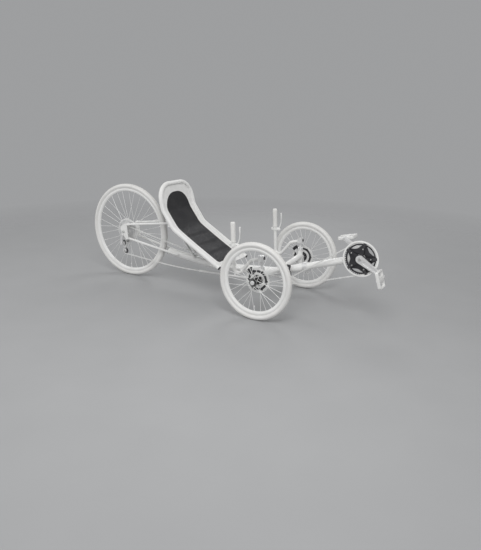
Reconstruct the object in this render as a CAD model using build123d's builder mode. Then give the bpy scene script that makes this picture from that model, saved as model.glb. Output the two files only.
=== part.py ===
from build123d import *
from math import acos, atan2, cos, pi, radians, sin, sqrt
import os

# Recumbent trike with two steered wheels in front and one driven wheel behind.
# Millimetres. +X forward, +Y left, +Z up, origin on the ground under the middle of the whole trike.

# Driving sizes
wheelbase = 1280.0
front_track = 760.0
front_tyre_r = 243.0
rear_tyre_r = 350.0
crank_length = 170.0
crank_angle = -30.0
bracket_ahead = 539.0
bracket_height = 386.0
seat_width = 370.0

# Clearances
weld_gap = 0.3
running_fit = 0.1
turning_gap = 5.0

# Tubes, each by outer radius and wall
main_tube_r = 25.4
main_tube_wall = 3.0
cross_boom_r = 19.0
stay_r = 8.0
strut_r = 9.0
strut_bend = 90.0
seat_rail_r = 14.0
seat_crossbar_r = 10.0
handlebar_r = 11.0
chain_tube_bore_r = 6.0
chain_tube_wall = 1.6

# Wheels
tyre_half_width = 18.0
tyre_tread_half = 8.0
tyre_shoulder = 11.0
tyre_height = 34.0
rim_half_width = 11.5
rim_depth = 21.0
spoke_side = 2.2
front_spokes = 28
rear_spokes = 32
flange_r = 28.0
flange_half = 1.5
freehub_r = 17.0
rotor_r = 80.0
rotor_half = 1.0
stub_axle_r = 7.5
rear_axle_r = 6.0

# Steering
kingpin_y = 296.0
kingpin_r = 8.0
head_tube_r = 18.0
head_tube_bottom = 194.0
head_tube_top = 306.0
steering_arm = 75.0
tie_rod_r = 5.5
tie_rod_pin_r = 4.0

# Drive
chain_y = -46.0
pitch = 12.7
ring_teeth = 48
sprocket_teeth = (11, 13, 15, 18, 21, 24, 28, 34, 42)
driven_sprocket = 4
idler_teeth = 14
pulley_teeth = 11
tooth_height = 3.2
tooth_half = 1.1
sprocket_step = 4.5
chain_half_width = 3.2
chain_half_height = 4.2
groove_half = 1.7
guard_r = 111.0

# Pedals
pedal_length = 104.0
pedal_width = 96.0
pedal_thickness = 24.0
pedal_tilt = 74.0
pedal_pin_r = 5.5


def pitch_radius(teeth):
    return pitch / 2 / sin(pi / teeth)


# The whole trike reaches from the back of the rear tyre to the front of the right pedal.
pedal_front = (bracket_ahead + crank_length * cos(radians(crank_angle))
               + pedal_length / 2 * cos(radians(pedal_tilt))
               + pedal_thickness / 2 * sin(radians(pedal_tilt)))
front_axle_x = (wheelbase + rear_tyre_r - pedal_front) / 2
wheel_y = front_track / 2


def ahead(x, y, z):
    """A point given by its distance ahead of the front axle."""
    return (front_axle_x + x, y, z)


def side_plane(x, y, z):
    """An upright plane along the trike, drawn as seen from the right, with its normal to the right."""
    return Plane(origin=ahead(x, y, z), x_dir=(1, 0, 0), z_dir=(0, -1, 0))


def wheel_plane(centre):
    """A half section of a wheel: local x is the radius and local y points to the right."""
    return Plane(origin=centre, x_dir=(0, 0, 1), z_dir=(1, 0, 0))


def round_bar(points, radius, bend=0.0):
    """A round bar along straight runs that are joined by tangent bends."""
    with BuildLine() as route:
        if len(points) > 2:
            FilletPolyline(*points, radius=bend)
        else:
            Line(*points)
    with BuildPart() as bar:
        for run in route.edges():
            with BuildSketch(Plane(origin=run @ 0, z_dir=run % 0)):
                Circle(radius)
            if run.geom_type == GeomType.LINE:
                extrude(amount=run.length)
            else:
                sweep(path=run)
    return bar.part


def profile_ring(centre, outline):
    """A ring about a crosswise axle, from an outline of (radius, distance to the right) points."""
    with BuildPart() as ring:
        with BuildSketch(wheel_plane(centre)):
            with BuildLine():
                Polyline(*outline, close=True)
            make_face()
        revolve(axis=Axis(centre, (0, 1, 0)))
    return ring.part


def toothed_face(teeth):
    """The face of a sprocket in the current sketch, with a pointed tooth for each link of its chain."""
    step = 2 * pi / teeth
    Polygon(*[((pitch_radius(teeth) + rise) * cos((i + share) * step),
               (pitch_radius(teeth) + rise) * sin((i + share) * step))
              for i in range(teeth) for share, rise in ((0, -tooth_height), (0.5, tooth_height))], align=None)


def save(solid, name):
    solid.label = name
    export_step(solid, f"parts/{name}.step")


os.makedirs("parts", exist_ok=True)
sides = (("right", -1), ("left", 1))

# Main tube: low under the seat, rising ahead of the cross boom towards the cranks.
boom_slope = 0.3058
tube_bend_x = -30.0
tube_bend_z = bracket_height - boom_slope * (bracket_ahead - tube_bend_x)
main_tube_front = 190.0
main_tube_back = -912.0


def boom_height(x):
    return tube_bend_z + boom_slope * (x - tube_bend_x)


main_route = [
    ahead(main_tube_back, 0, 236), ahead(-494, 0, 180),
    ahead(tube_bend_x, 0, tube_bend_z), ahead(main_tube_front, 0, boom_height(main_tube_front)),
]
main_bore_r = main_tube_r - main_tube_wall
boom_start = 70.0
main_tube_bend = 80.0
main_envelope = round_bar(main_route, main_tube_r + weld_gap, main_tube_bend)
boss_r = 7.0
boss_length = 14.0
boss_spacing = 64.0
boss_x = -250.0
boss_z = 196.5
boss_hole_r = 2.5
boss_face_y = main_tube_r + 4

with BuildPart() as main_tube:
    add(round_bar(main_route, main_tube_r, main_tube_bend))
    with BuildSketch(side_plane(boss_x, boss_face_y, boss_z)):
        with GridLocations(boss_spacing, 1, 2, 1):
            Circle(boss_r)
    extrude(amount=boss_length)
    add(round_bar([ahead(boom_start - 20, 0, boom_height(boom_start - 20)),
                   ahead(main_tube_front + 9, 0, boom_height(main_tube_front + 9))], main_bore_r),
        mode=Mode.SUBTRACT)
    with BuildSketch(side_plane(boss_x, boss_face_y, boss_z)):
        with GridLocations(boss_spacing, 1, 2, 1):
            Circle(boss_hole_r)
    extrude(amount=boss_length, mode=Mode.SUBTRACT)
save(main_tube.part, "main_tube")

# Front boom: slides in the main tube and carries the bottom bracket shell.
boom_r = main_bore_r - weld_gap
spindle_r = 12.0
shell_r = 21.0
shell_half = 34.0
bracket_centre = ahead(bracket_ahead, 0, bracket_height)
with BuildPart() as front_boom:
    add(round_bar([ahead(boom_start, 0, boom_height(boom_start)), bracket_centre], boom_r))
    with BuildSketch(side_plane(bracket_ahead, shell_half, bracket_height)):
        Circle(shell_r)
    extrude(amount=2 * shell_half)
    with BuildSketch(side_plane(bracket_ahead, shell_half, bracket_height)):
        Circle(spindle_r + running_fit)
    extrude(amount=2 * shell_half, mode=Mode.SUBTRACT)
save(front_boom.part, "front_boom")

# Boom clamp: a split collar with two ears under the open end of the main tube.
collar_back = main_tube_front - 34
collar_length = 30.0
collar_wall = 5.0
ear_width = 26.0
ear_depth = 22.0
ear_drop = main_tube_r + 8
collar_slit = 3.0
clamp_plane = Plane(origin=ahead(collar_back, 0, boom_height(collar_back)),
                    x_dir=(0, 1, 0), z_dir=(1, 0, boom_slope))
with BuildPart() as boom_clamp:
    with BuildSketch(clamp_plane):
        Circle(main_tube_r + collar_wall)
        with Locations((0, -ear_drop)):
            Rectangle(ear_width, ear_depth)
        Circle(main_tube_r + weld_gap, mode=Mode.SUBTRACT)
        with Locations((0, -ear_drop)):
            Rectangle(collar_slit, ear_depth + 8, mode=Mode.SUBTRACT)
    extrude(amount=collar_length)
save(boom_clamp.part, "boom_clamp")

# Cross boom: a tube to each side, each with an upright head tube at its end.
cross_inner_z = 236.0
cross_outer_z = 258.0
with BuildPart() as cross_boom:
    for name, side in sides:
        add(round_bar([ahead(0, 0, cross_inner_z), ahead(0, side * kingpin_y, cross_outer_z)],
                      cross_boom_r))
        with BuildSketch(Plane.XY.offset(head_tube_bottom)):
            with Locations(ahead(0, side * kingpin_y, 0)[:2]):
                Circle(head_tube_r)
        extrude(amount=head_tube_top - head_tube_bottom)
    add(main_envelope, mode=Mode.SUBTRACT)
    for name, side in sides:
        with BuildSketch(Plane.XY.offset(head_tube_bottom)):
            with Locations(ahead(0, side * kingpin_y, 0)[:2]):
                Circle(kingpin_r + running_fit)
        extrude(amount=head_tube_top - head_tube_bottom, mode=Mode.SUBTRACT)
save(cross_boom.part, "cross_boom")

# Rear frame: dropouts beside the hub, with chainstays below and upper stays above.
dropout_y = 67.5
dropout_thickness = 6.0
stay_end_y = dropout_y - weld_gap - stay_r
lower_stay_end = (-wheelbase + 28, 302)
upper_stay_end = (-wheelbase + 16, rear_tyre_r + 53)
eyelet_at = (-wheelbase - 22, rear_tyre_r + 26)
eyelet_r = 2.5
hanger_at = (-wheelbase - 12, rear_tyre_r - 27)

with BuildPart() as dropouts:
    for name, side in sides:
        with BuildSketch(side_plane(0, side * dropout_y, 0)):
            with BuildLine():
                Polyline((lower_stay_end[0] + 13, lower_stay_end[1] - 4),
                         (lower_stay_end[0] - 6, lower_stay_end[1] - 12),
                         (-wheelbase - 17, rear_tyre_r - 12),
                         (eyelet_at[0] - 8, eyelet_at[1] - 7), (eyelet_at[0] - 7, eyelet_at[1] + 7),
                         (upper_stay_end[0] - 12, upper_stay_end[1] + 4),
                         (upper_stay_end[0] - 3, upper_stay_end[1] + 12),
                         (upper_stay_end[0] + 13, upper_stay_end[1] + 6), close=True)
            make_face()
            with Locations((-wheelbase, rear_tyre_r)):
                Circle(rear_axle_r + weld_gap, mode=Mode.SUBTRACT)
            with Locations(eyelet_at):
                Circle(eyelet_r, mode=Mode.SUBTRACT)
            if side < 0:
                with Locations(hanger_at):
                    Rectangle(24, 24, rotation=-40)
        extrude(amount=-side * dropout_thickness)
save(dropouts.part, "dropouts")

with BuildPart() as chainstays:
    for name, side in sides:
        add(round_bar([ahead(-812, side * (main_tube_r + stay_r + weld_gap), 224),
                       ahead(lower_stay_end[0], side * stay_end_y, lower_stay_end[1])], stay_r))
    add(main_envelope, mode=Mode.SUBTRACT)
save(chainstays.part, "chainstays")

crossbar_at = (-773.0, 469.0)
crossbar_route = [ahead(crossbar_at[0], -seat_width / 2, crossbar_at[1]),
                  ahead(crossbar_at[0], seat_width / 2, crossbar_at[1])]
crossbar_envelope = round_bar(crossbar_route, seat_crossbar_r + weld_gap)

with BuildPart() as upper_stays:
    for name, side in sides:
        add(round_bar([ahead(upper_stay_end[0], side * stay_end_y, upper_stay_end[1]),
                       ahead(crossbar_at[0], side * 68, crossbar_at[1])], stay_r))
    add(crossbar_envelope, mode=Mode.SUBTRACT)
save(upper_stays.part, "upper_stays")

with BuildPart() as seat_struts:
    for name, side in sides:
        add(round_bar([ahead(-676, side * 16, 214), ahead(-758, side * 30, 330),
                       ahead(crossbar_at[0], side * 44, crossbar_at[1])], strut_r, strut_bend))
    add(main_envelope, mode=Mode.SUBTRACT)
    add(crossbar_envelope, mode=Mode.SUBTRACT)
save(seat_struts.part, "seat_struts")

rear_axle_half = dropout_y + dropout_thickness + 8
axle_nut_r = 10.0
axle_nut_length = 6.0
with BuildPart() as rear_axle:
    with BuildSketch(side_plane(-wheelbase, rear_axle_half, rear_tyre_r)):
        Circle(rear_axle_r)
    extrude(amount=2 * rear_axle_half)
    for name, side in sides:
        nut_y = side * (dropout_y + dropout_thickness + weld_gap)
        with BuildSketch(side_plane(-wheelbase, nut_y, rear_tyre_r)):
            RegularPolygon(axle_nut_r, 6)
        extrude(amount=-side * axle_nut_length)
save(rear_axle.part, "rear_axle")

# Seat: one bent tube up both sides and over the top, two crossbars and a sling stretched between.
# Columns: distance ahead of the front axle, height, bend radius at that point.
seat_profile = (
    (-372, 226, 0),
    (-735, 446, 120),
    (-822, 570, 110),
    (-860, 738, 115),
)
rail_points = [ahead(x, -seat_width / 2, z) for x, z, bend in seat_profile]
rail_points += [ahead(x, seat_width / 2, z) for x, z, bend in reversed(seat_profile)]
rail_bends = [bend for x, z, bend in seat_profile[1:]]
rail_bends += rail_bends[::-1]
rail_envelope = round_bar(rail_points, seat_rail_r + weld_gap, rail_bends)
save(round_bar(rail_points, seat_rail_r, rail_bends), "seat_rails")

lower_bar_at = (-430, 243)
lower_bar_route = [ahead(lower_bar_at[0], -seat_width / 2, lower_bar_at[1]),
                   ahead(lower_bar_at[0], seat_width / 2, lower_bar_at[1])]
with BuildPart() as seat_crossbars:
    add(round_bar(crossbar_route, seat_crossbar_r))
    add(round_bar(lower_bar_route, seat_crossbar_r))
    add(rail_envelope, mode=Mode.SUBTRACT)
save(seat_crossbars.part, "seat_crossbars")

bracket_foot = main_route[1][2] + main_tube_r + weld_gap
bracket_width = 28.0
with BuildPart() as seat_bracket:
    with BuildSketch(side_plane(lower_bar_at[0], bracket_width / 2, 0)):
        with BuildLine():
            Polyline((-26, bracket_foot + 2.6), (26, bracket_foot + 6.2),
                     (12, lower_bar_at[1] - seat_crossbar_r - weld_gap),
                     (-12, lower_bar_at[1] - seat_crossbar_r - weld_gap), close=True)
        make_face()
    extrude(amount=bracket_width)
save(seat_bracket.part, "seat_bracket")

sling_half = 2.0
sling_edge = seat_width / 2 - seat_rail_r - weld_gap
sling_top = (seat_profile[-1][0] + 3.2, seat_profile[-1][1] - seat_rail_r - weld_gap)
with BuildPart() as seat_sling:
    with BuildSketch(side_plane(0, sling_edge, 0)):
        with BuildLine():
            FilletPolyline(*[(x, z) for x, z, bend in seat_profile[:-1]], sling_top,
                           radius=[bend for x, z, bend in seat_profile[1:-1]])
        trace(line_width=2 * sling_half)
    extrude(amount=2 * sling_edge)
    top_corners = seat_sling.edges().filter_by(Axis.Y, reverse=True).group_by(Axis.Z)[-1]
    fillet(top_corners.filter_by(GeomType.LINE), seat_profile[-1][2] - seat_rail_r - weld_gap)
save(seat_sling.part, "seat_sling")

# Wheels. Columns: name, side, ahead of the front axle, tyre radius, spokes, lacing angle.
wheel_table = (
    ("right_front", -1, 0.0, front_tyre_r, front_spokes, 52.0),
    ("left_front", 1, 0.0, front_tyre_r, front_spokes, 52.0),
    ("rear", 0, -wheelbase, rear_tyre_r, rear_spokes, 66.0),
)
# Hub outlines: radius, distance outboard of the wheel's middle (for the rear hub, to the right).
front_hub = ((21, -35), (21, -25.5), (flange_r, -25.5), (flange_r, -22.5), (14, -22.5), (14, 20.5),
             (flange_r, 20.5), (flange_r, 23.5), (15, 23.5), (15, 33))
rear_hub = ((12, -65), (12, -35.5), (flange_r, -35.5), (flange_r, -32.5), (16, -32.5), (16, 15.5),
            (flange_r, 15.5), (flange_r, 18.5), (freehub_r, 18.5), (freehub_r, 65))
front_flanges = (22.0, -24.0)
rear_flanges = (17.0, -34.0)


def spoke_ends(flange_y, lean, rim_angle, lacing, rim_inner):
    """Where a spoke lies beside its flange and where it meets the rim, from the wheel's centre."""
    hub_angle = radians(rim_angle + lean * lacing)
    rim_angle = radians(rim_angle)
    start_r = flange_r - 4
    side_step = lean * (flange_half + weld_gap + spoke_side / 2)
    return (Vector(start_r * cos(hub_angle), -flange_y - side_step, start_r * sin(hub_angle)),
            Vector(rim_inner * cos(rim_angle), -flange_y * 0.1, rim_inner * sin(rim_angle)))


for name, side, wheel_x, tyre_r, spokes, lacing in wheel_table:
    centre = ahead(wheel_x, side * wheel_y, tyre_r)
    rim_r = tyre_r - tyre_height
    save(profile_ring(centre, [
        (rim_r + weld_gap, -tyre_half_width), (rim_r + weld_gap, tyre_half_width),
        (tyre_r - tyre_shoulder, tyre_half_width), (tyre_r, tyre_tread_half),
        (tyre_r, -tyre_tread_half), (tyre_r - tyre_shoulder, -tyre_half_width),
    ]), f"{name}_tyre")
    save(profile_ring(centre, [
        (rim_r, -rim_half_width), (rim_r, rim_half_width),
        (rim_r - rim_depth, rim_half_width), (rim_r - rim_depth, -rim_half_width),
    ]), f"{name}_rim")

    mirror_out = 1 if side < 1 else -1
    bore_r = running_fit + (stub_axle_r if side else rear_axle_r)
    outline = front_hub if side else rear_hub
    outline = [(r, mirror_out * y) for r, y in outline]
    with BuildPart() as hub:
        add(profile_ring(centre, [(bore_r, outline[0][1]), *outline, (bore_r, outline[-1][1])]))
        for flange_y in front_flanges if side else rear_flanges:
            for spoke in range(spokes // 2):
                start, end = spoke_ends(mirror_out * flange_y, 1 if spoke % 2 else -1,
                                        360 / spokes * (2 * spoke + (flange_y > 0)), lacing,
                                        rim_r - rim_depth - 2 * weld_gap)
                with BuildSketch(Plane(origin=Vector(centre) + start, z_dir=end - start)):
                    Rectangle(spoke_side, spoke_side)
                extrude(amount=(end - start).length)
    save(hub.part, f"{name}_hub")

# Front wheel brakes and steering, the same on both sides.
rotor_y = wheel_y - 36.0
plate_inner = kingpin_y + head_tube_r + turning_gap
plate_outer = plate_inner + 9
kingpin_eye_r = 16.0
block_width = 30.0
arm_width = 16.0
arm_end_r = 8.0
axle_boss_r = 19.0
axle_end_y = wheel_y + 33
arm_bottom = 181.0
arm_top = head_tube_bottom - 1
bar_points = ((16, 372), (-74, 346), (-190, 204), (-206, 566))
clamp_bottom = bar_points[0][1] - 22
clamp_top = bar_points[0][1] + 14
for name, side in sides:
    # Brake rotor: a slotted ring on five arms, bolted to the inner end of the hub.
    with BuildPart() as rotor:
        with BuildSketch(side_plane(0, side * (rotor_y + rotor_half), front_tyre_r)):
            Circle(rotor_r)
            RegularPolygon(rotor_r - 14, 15, mode=Mode.SUBTRACT)
            with PolarLocations(0, 5):
                Rectangle(rotor_r - 8, 8, align=(Align.MIN, Align.CENTER))
            RegularPolygon(24, 10)
            RegularPolygon(stub_axle_r + 6, 10, major_radius=False, mode=Mode.SUBTRACT)
        extrude(amount=side * 2 * rotor_half)
    save(rotor.part, f"{name}_brake_rotor")

    # Knuckle: kingpin, lower block, upright plate with the stub axle, steering arm and bar clamp.
    with BuildPart() as knuckle:
        with BuildSketch(Plane.XY.offset(arm_bottom)):
            with Locations(ahead(0, side * kingpin_y, 0)[:2]):
                Circle(kingpin_r)
        extrude(amount=clamp_bottom + 4 - arm_bottom)
        with BuildSketch(Plane.XY.offset(arm_bottom)):
            with Locations(ahead(0, side * kingpin_y, 0)[:2]):
                Circle(kingpin_eye_r)
            with Locations(ahead(0, side * (kingpin_y + plate_outer) / 2, 0)[:2]):
                Rectangle(block_width, plate_outer - kingpin_y)
            with Locations(ahead(-steering_arm / 2, side * kingpin_y, 0)[:2]):
                Rectangle(steering_arm, arm_width)
            with Locations(ahead(-steering_arm, side * kingpin_y, 0)[:2]):
                Circle(arm_end_r)
        extrude(amount=arm_top - arm_bottom)
        with BuildSketch(side_plane(0, side * plate_inner, 0)):
            with Locations((0, front_tyre_r)):
                Circle(axle_boss_r)
            with Locations((0, arm_bottom + 8)):
                Rectangle(block_width, arm_width)
            make_hull()
            with Locations((-28, front_tyre_r + 28)):
                Rectangle(22, 58, rotation=45)
        extrude(amount=-side * (plate_outer - plate_inner))
        with BuildSketch(side_plane(0, side * plate_outer, front_tyre_r)):
            Circle(stub_axle_r)
        extrude(amount=-side * (axle_end_y - plate_outer))
        with BuildSketch(side_plane(0, side * (axle_end_y + weld_gap), front_tyre_r)):
            RegularPolygon(12, 6)
        extrude(amount=-side * 7)
        with BuildSketch(side_plane(0, side * (axle_end_y + weld_gap), front_tyre_r)):
            Circle(stub_axle_r)
        extrude(amount=side * 1)
        with BuildSketch(Plane.XY.offset(head_tube_top + weld_gap)):
            with Locations(ahead(0, side * kingpin_y, 0)[:2]):
                RegularPolygon(head_tube_r - 1, 12)
        extrude(amount=12)
        with BuildSketch(Plane.XY.offset(clamp_bottom)):
            with Locations(ahead(0, side * kingpin_y, 0)[:2]):
                Rectangle(34, 32)
        extrude(amount=clamp_top - clamp_bottom)
        add(round_bar([ahead(bar_points[0][0] + 20, side * kingpin_y, bar_points[0][1] + 5.8),
                       ahead(bar_points[1][0], side * kingpin_y, bar_points[1][1])],
                      handlebar_r + weld_gap), mode=Mode.SUBTRACT)
        with BuildSketch(Plane.XY.offset(arm_bottom)):
            with Locations(ahead(-steering_arm, side * kingpin_y, 0)[:2]):
                Circle(tie_rod_pin_r)
        extrude(amount=-24)
    save(knuckle.part, f"{name}_knuckle")

    # Handlebar: drops behind the wheel and turns up to the grip.
    save(round_bar([ahead(x, side * kingpin_y, z) for x, z in bar_points], handlebar_r,
                   [45, 30]), f"{name}_handlebar")

    # Grip: a closed rubber sleeve over the end of the bar.
    grip_bottom = 446.0
    grip_top = 572.0
    grip_r = 15.5
    grip_collar_r = 17.0
    grip_x = bar_points[-1][0]
    bar_lean = (bar_points[-1][0] - bar_points[-2][0]) / (bar_points[-1][1] - bar_points[-2][1])
    grip_plane = Plane(origin=ahead(grip_x + (grip_bottom - bar_points[-1][1]) * bar_lean,
                                    side * kingpin_y, grip_bottom),
                       x_dir=(1, 0, 0), z_dir=(bar_lean, 0, 1))
    with BuildPart() as grip:
        with BuildSketch(grip_plane):
            Circle(grip_collar_r)
        extrude(amount=5)
        with BuildSketch(grip_plane):
            Circle(grip_r)
        extrude(amount=grip_top - grip_bottom)
        with BuildSketch(grip_plane):
            Circle(handlebar_r + weld_gap)
        extrude(amount=bar_points[-1][1] - grip_bottom + 1, mode=Mode.SUBTRACT)
    save(grip.part, f"{name}_grip")

    # Brake lever: a clamp round the bar under the grip, with its blade ahead of the fingers.
    lever_z = 418.0
    lever_plane = Plane(origin=ahead(grip_x + (lever_z - bar_points[-1][1]) * bar_lean,
                                     side * kingpin_y, lever_z),
                        x_dir=(1, 0, 0), z_dir=(bar_lean, 0, 1))
    with BuildPart() as lever:
        with BuildSketch(lever_plane):
            Circle(grip_collar_r)
            with Locations((22, 0)):
                Rectangle(34, 16)
            with Locations((-20, 0)):
                Rectangle(18, 12)
            Circle(handlebar_r + weld_gap, mode=Mode.SUBTRACT)
        extrude(amount=22)
        with BuildSketch(side_plane(grip_x, side * kingpin_y, lever_z + 12)):
            with BuildLine():
                Polyline((24, 0), (38, -6), (56, 40), (54, 118), (46, 118), (46, 46), close=True)
            make_face()
        extrude(amount=6, both=True)
    save(lever.part, f"{name}_brake_lever")

    # Brake caliper: straddles the rotor behind and above the axle.
    with BuildPart() as caliper:
        with BuildSketch(side_plane(-48, side * (plate_outer + weld_gap), front_tyre_r + 48)):
            RectangleRounded(34, 46, 6, rotation=45)
        extrude(amount=-side * (rotor_y - plate_outer + 6.5))
        with BuildSketch(side_plane(0, side * (rotor_y - rotor_half - 1.5), front_tyre_r)):
            Circle(rotor_r + 4)
        extrude(amount=-side * (2 * rotor_half + 3), mode=Mode.SUBTRACT)
    save(caliper.part, f"{name}_brake_caliper")

# Tie rod: joins the two steering arms under the main tube.
tie_rod_z = arm_bottom - 8.0
rod_eye_r = 10.0
rod_eye_height = 14.0
with BuildPart() as tie_rod:
    with BuildSketch(Plane.XY.offset(tie_rod_z - rod_eye_height / 2)):
        with Locations(*[ahead(-steering_arm, side * kingpin_y, 0)[:2] for name, side in sides]):
            Circle(rod_eye_r)
    extrude(amount=rod_eye_height)
    add(round_bar([ahead(-steering_arm, side * kingpin_y, tie_rod_z) for name, side in sides], tie_rod_r))
    for name, side in sides:
        with BuildSketch(Plane.XY.offset(tie_rod_z - rod_eye_height / 2)):
            with Locations(ahead(-steering_arm, side * kingpin_y, 0)[:2]):
                Circle(tie_rod_pin_r + running_fit)
        extrude(amount=rod_eye_height, mode=Mode.SUBTRACT)
save(tie_rod.part, "tie_rod")

# Cranks: chainring and guard on a five-arm spider, spindle, two arms and the pedal pins.
ring_pitch_r = pitch_radius(ring_teeth)
bolt_circle_r = 65.0
spider_start = crank_angle + 36
spider_width = 14.0
with BuildPart() as chainring:
    with BuildSketch(side_plane(bracket_ahead, chain_y + tooth_half, bracket_height)):
        toothed_face(ring_teeth)
        RegularPolygon(bolt_circle_r - 9, 5, major_radius=False, rotation=spider_start + 36,
                       mode=Mode.SUBTRACT)
    extrude(amount=2 * tooth_half)
save(chainring.part, "chainring")

guard_inner_y = chain_y - chain_half_width - 2
guard_thickness = 3.0
with BuildPart() as chain_guard:
    with BuildSketch(side_plane(bracket_ahead, guard_inner_y, bracket_height)):
        Circle(guard_r)
        Circle(ring_pitch_r + 4, mode=Mode.SUBTRACT)
        with PolarLocations(bolt_circle_r - 8, 5, start_angle=spider_start):
            Rectangle(guard_r - bolt_circle_r + 4, spider_width, align=(Align.MIN, Align.CENTER))
    extrude(amount=guard_thickness)
    with BuildSketch(side_plane(bracket_ahead, chain_y - tooth_half - weld_gap, bracket_height)):
        with PolarLocations(bolt_circle_r, 5, start_angle=spider_start):
            Rectangle(12, spider_width - 2)
    extrude(until=Until.NEXT)
save(chain_guard.part, "chain_guard")

spider_thickness = 5.5
arm_inner_y = -guard_inner_y + guard_thickness + weld_gap + spider_thickness
arm_thickness = 14.0
pin_length = 88.0
crank_boss_r = 18.0
crank_eye_r = 12.0
for name, side in sides:
    angle = crank_angle if side < 0 else crank_angle + 180
    eye = (crank_length * cos(radians(angle)), crank_length * sin(radians(angle)))
    with BuildPart() as crank:
        with BuildSketch(side_plane(bracket_ahead, side * arm_inner_y, bracket_height)):
            Circle(crank_boss_r)
            with Locations(eye):
                Circle(crank_eye_r)
            make_hull()
        extrude(amount=-side * arm_thickness)
        with BuildSketch(side_plane(bracket_ahead + eye[0], side * (arm_inner_y + arm_thickness),
                                    bracket_height + eye[1])):
            Circle(pedal_pin_r)
        extrude(amount=-side * pin_length)
        if side < 0:
            with BuildSketch(side_plane(bracket_ahead, -arm_inner_y + spider_thickness, bracket_height)):
                RegularPolygon(28, 10)
                with PolarLocations(0, 5, start_angle=spider_start):
                    Rectangle(bolt_circle_r + spider_width / 2, spider_width, align=(Align.MIN, Align.CENTER))
            extrude(amount=spider_thickness)
    save(crank.part, f"{name}_crank")

with BuildPart() as spindle:
    with BuildSketch(side_plane(bracket_ahead, arm_inner_y, bracket_height)):
        Circle(spindle_r)
    extrude(amount=2 * arm_inner_y - spider_thickness)
save(spindle.part, "crank_spindle")

# Pedals: an open platform on a bearing barrel that turns on the crank's pin.
for name, side in sides:
    angle = crank_angle if side < 0 else crank_angle + 180
    tilt = -pedal_tilt if side < 0 else 12.0
    inner_y = arm_inner_y + arm_thickness + 6
    pin_at = (bracket_ahead + crank_length * cos(radians(angle)),
              bracket_height + crank_length * sin(radians(angle)))
    face = Plane(origin=ahead(pin_at[0], side * inner_y, pin_at[1]),
                 x_dir=(cos(radians(tilt)), 0, sin(radians(tilt))), z_dir=(0, -1, 0))
    with BuildPart() as pedal:
        with BuildSketch(face):
            RectangleRounded(pedal_length, pedal_thickness, 6)
        extrude(amount=-side * pedal_width)
        with BuildSketch(Plane(origin=face.origin + face.y_dir * 20, x_dir=face.x_dir, z_dir=-face.y_dir)):
            for x in (-30, 30):
                with Locations((x, -pedal_width / 2 if side < 0 else pedal_width / 2)):
                    Rectangle(30, pedal_width - 24)
        extrude(amount=40, mode=Mode.SUBTRACT)
        with BuildSketch(face):
            Circle(pedal_pin_r + running_fit)
        extrude(amount=-side * pedal_width, mode=Mode.SUBTRACT)
    save(pedal.part, f"{name}_pedal")

# Chain: one loop over the chainring, the return sag, both derailleur pulleys, a sprocket and the idler.
idler_at = (62, 218)
upper_pulley_at = (-wheelbase - 20, rear_tyre_r - 92)
lower_pulley_at = (-wheelbase - 8, rear_tyre_r - 152)
front_sag_r = 900.0
back_sag_r = 3500.0
return_low = 137.0
under_seat_r = 300.0
under_seat_low = 200.0
# Columns: centre, pitch radius, +1 for a clockwise wrap and -1 for an anticlockwise one.
wraps = (
    ((bracket_ahead, bracket_height), ring_pitch_r, 1),
    ((-40, return_low + 11 + front_sag_r), front_sag_r, 1),
    ((-700, return_low + back_sag_r), back_sag_r, 1),
    (lower_pulley_at, pitch_radius(pulley_teeth), 1),
    (upper_pulley_at, pitch_radius(pulley_teeth), -1),
    ((-wheelbase, rear_tyre_r), pitch_radius(sprocket_teeth[driven_sprocket]), 1),
    ((-330, under_seat_low + under_seat_r), under_seat_r, -1),
    (idler_at, pitch_radius(idler_teeth), -1),
)


def wrap_radius(wrap, shift):
    """The wrap's radius for a line that runs outside the pitch line by shift, or inside when negative."""
    return wrap[1] + wrap[2] * shift


def tangent_run(first, second, shift):
    """The two ends of the straight run that leaves one wrap and meets the next."""
    (x1, z1), r1, turn1 = first[0], wrap_radius(first, shift), first[2]
    (x2, z2), r2, turn2 = second[0], wrap_radius(second, shift), second[2]
    span = sqrt((x2 - x1) ** 2 + (z2 - z1) ** 2)
    normal = atan2(z2 - z1, x2 - x1) + turn1 * acos((r1 - turn1 * turn2 * r2) / span)
    other = r2 * turn1 * turn2
    return ((x1 + r1 * cos(normal), z1 + r1 * sin(normal)),
            (x2 + other * cos(normal), z2 + other * sin(normal)))


def arc_middle(wrap, shift, entry, leave):
    (x, z), turn = wrap[0], wrap[2]
    entry_angle = atan2(entry[1] - z, entry[0] - x)
    leave_angle = atan2(leave[1] - z, leave[0] - x)
    middle = entry_angle - turn * ((turn * (entry_angle - leave_angle)) % (2 * pi)) / 2
    radius = wrap_radius(wrap, shift)
    return x + radius * cos(middle), z + radius * sin(middle)


def chain_loop(shift):
    """The closed loop of arcs and runs, for the current line."""
    runs = [tangent_run(wrap, wraps[(i + 1) % len(wraps)], shift) for i, wrap in enumerate(wraps)]
    for i, wrap in enumerate(wraps):
        entry, leave = runs[i - 1][1], runs[i][0]
        ThreePointArc(entry, arc_middle(wrap, shift, entry, leave), leave)
        Line(*runs[i])


with BuildPart() as chain:
    for shift, mode in ((chain_half_height, Mode.ADD), (-chain_half_height, Mode.SUBTRACT)):
        with BuildSketch(side_plane(0, chain_y + chain_half_width, 0)):
            with BuildLine():
                chain_loop(shift)
            make_face()
        extrude(amount=2 * chain_half_width, mode=mode)
    for (x, z), radius, turn in wraps:
        if radius < front_sag_r:
            with BuildSketch(side_plane(x, chain_y + groove_half, z)):
                Circle(radius + chain_half_height + 1)
            extrude(amount=2 * groove_half, mode=Mode.SUBTRACT)
save(chain.part, "chain")

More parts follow.
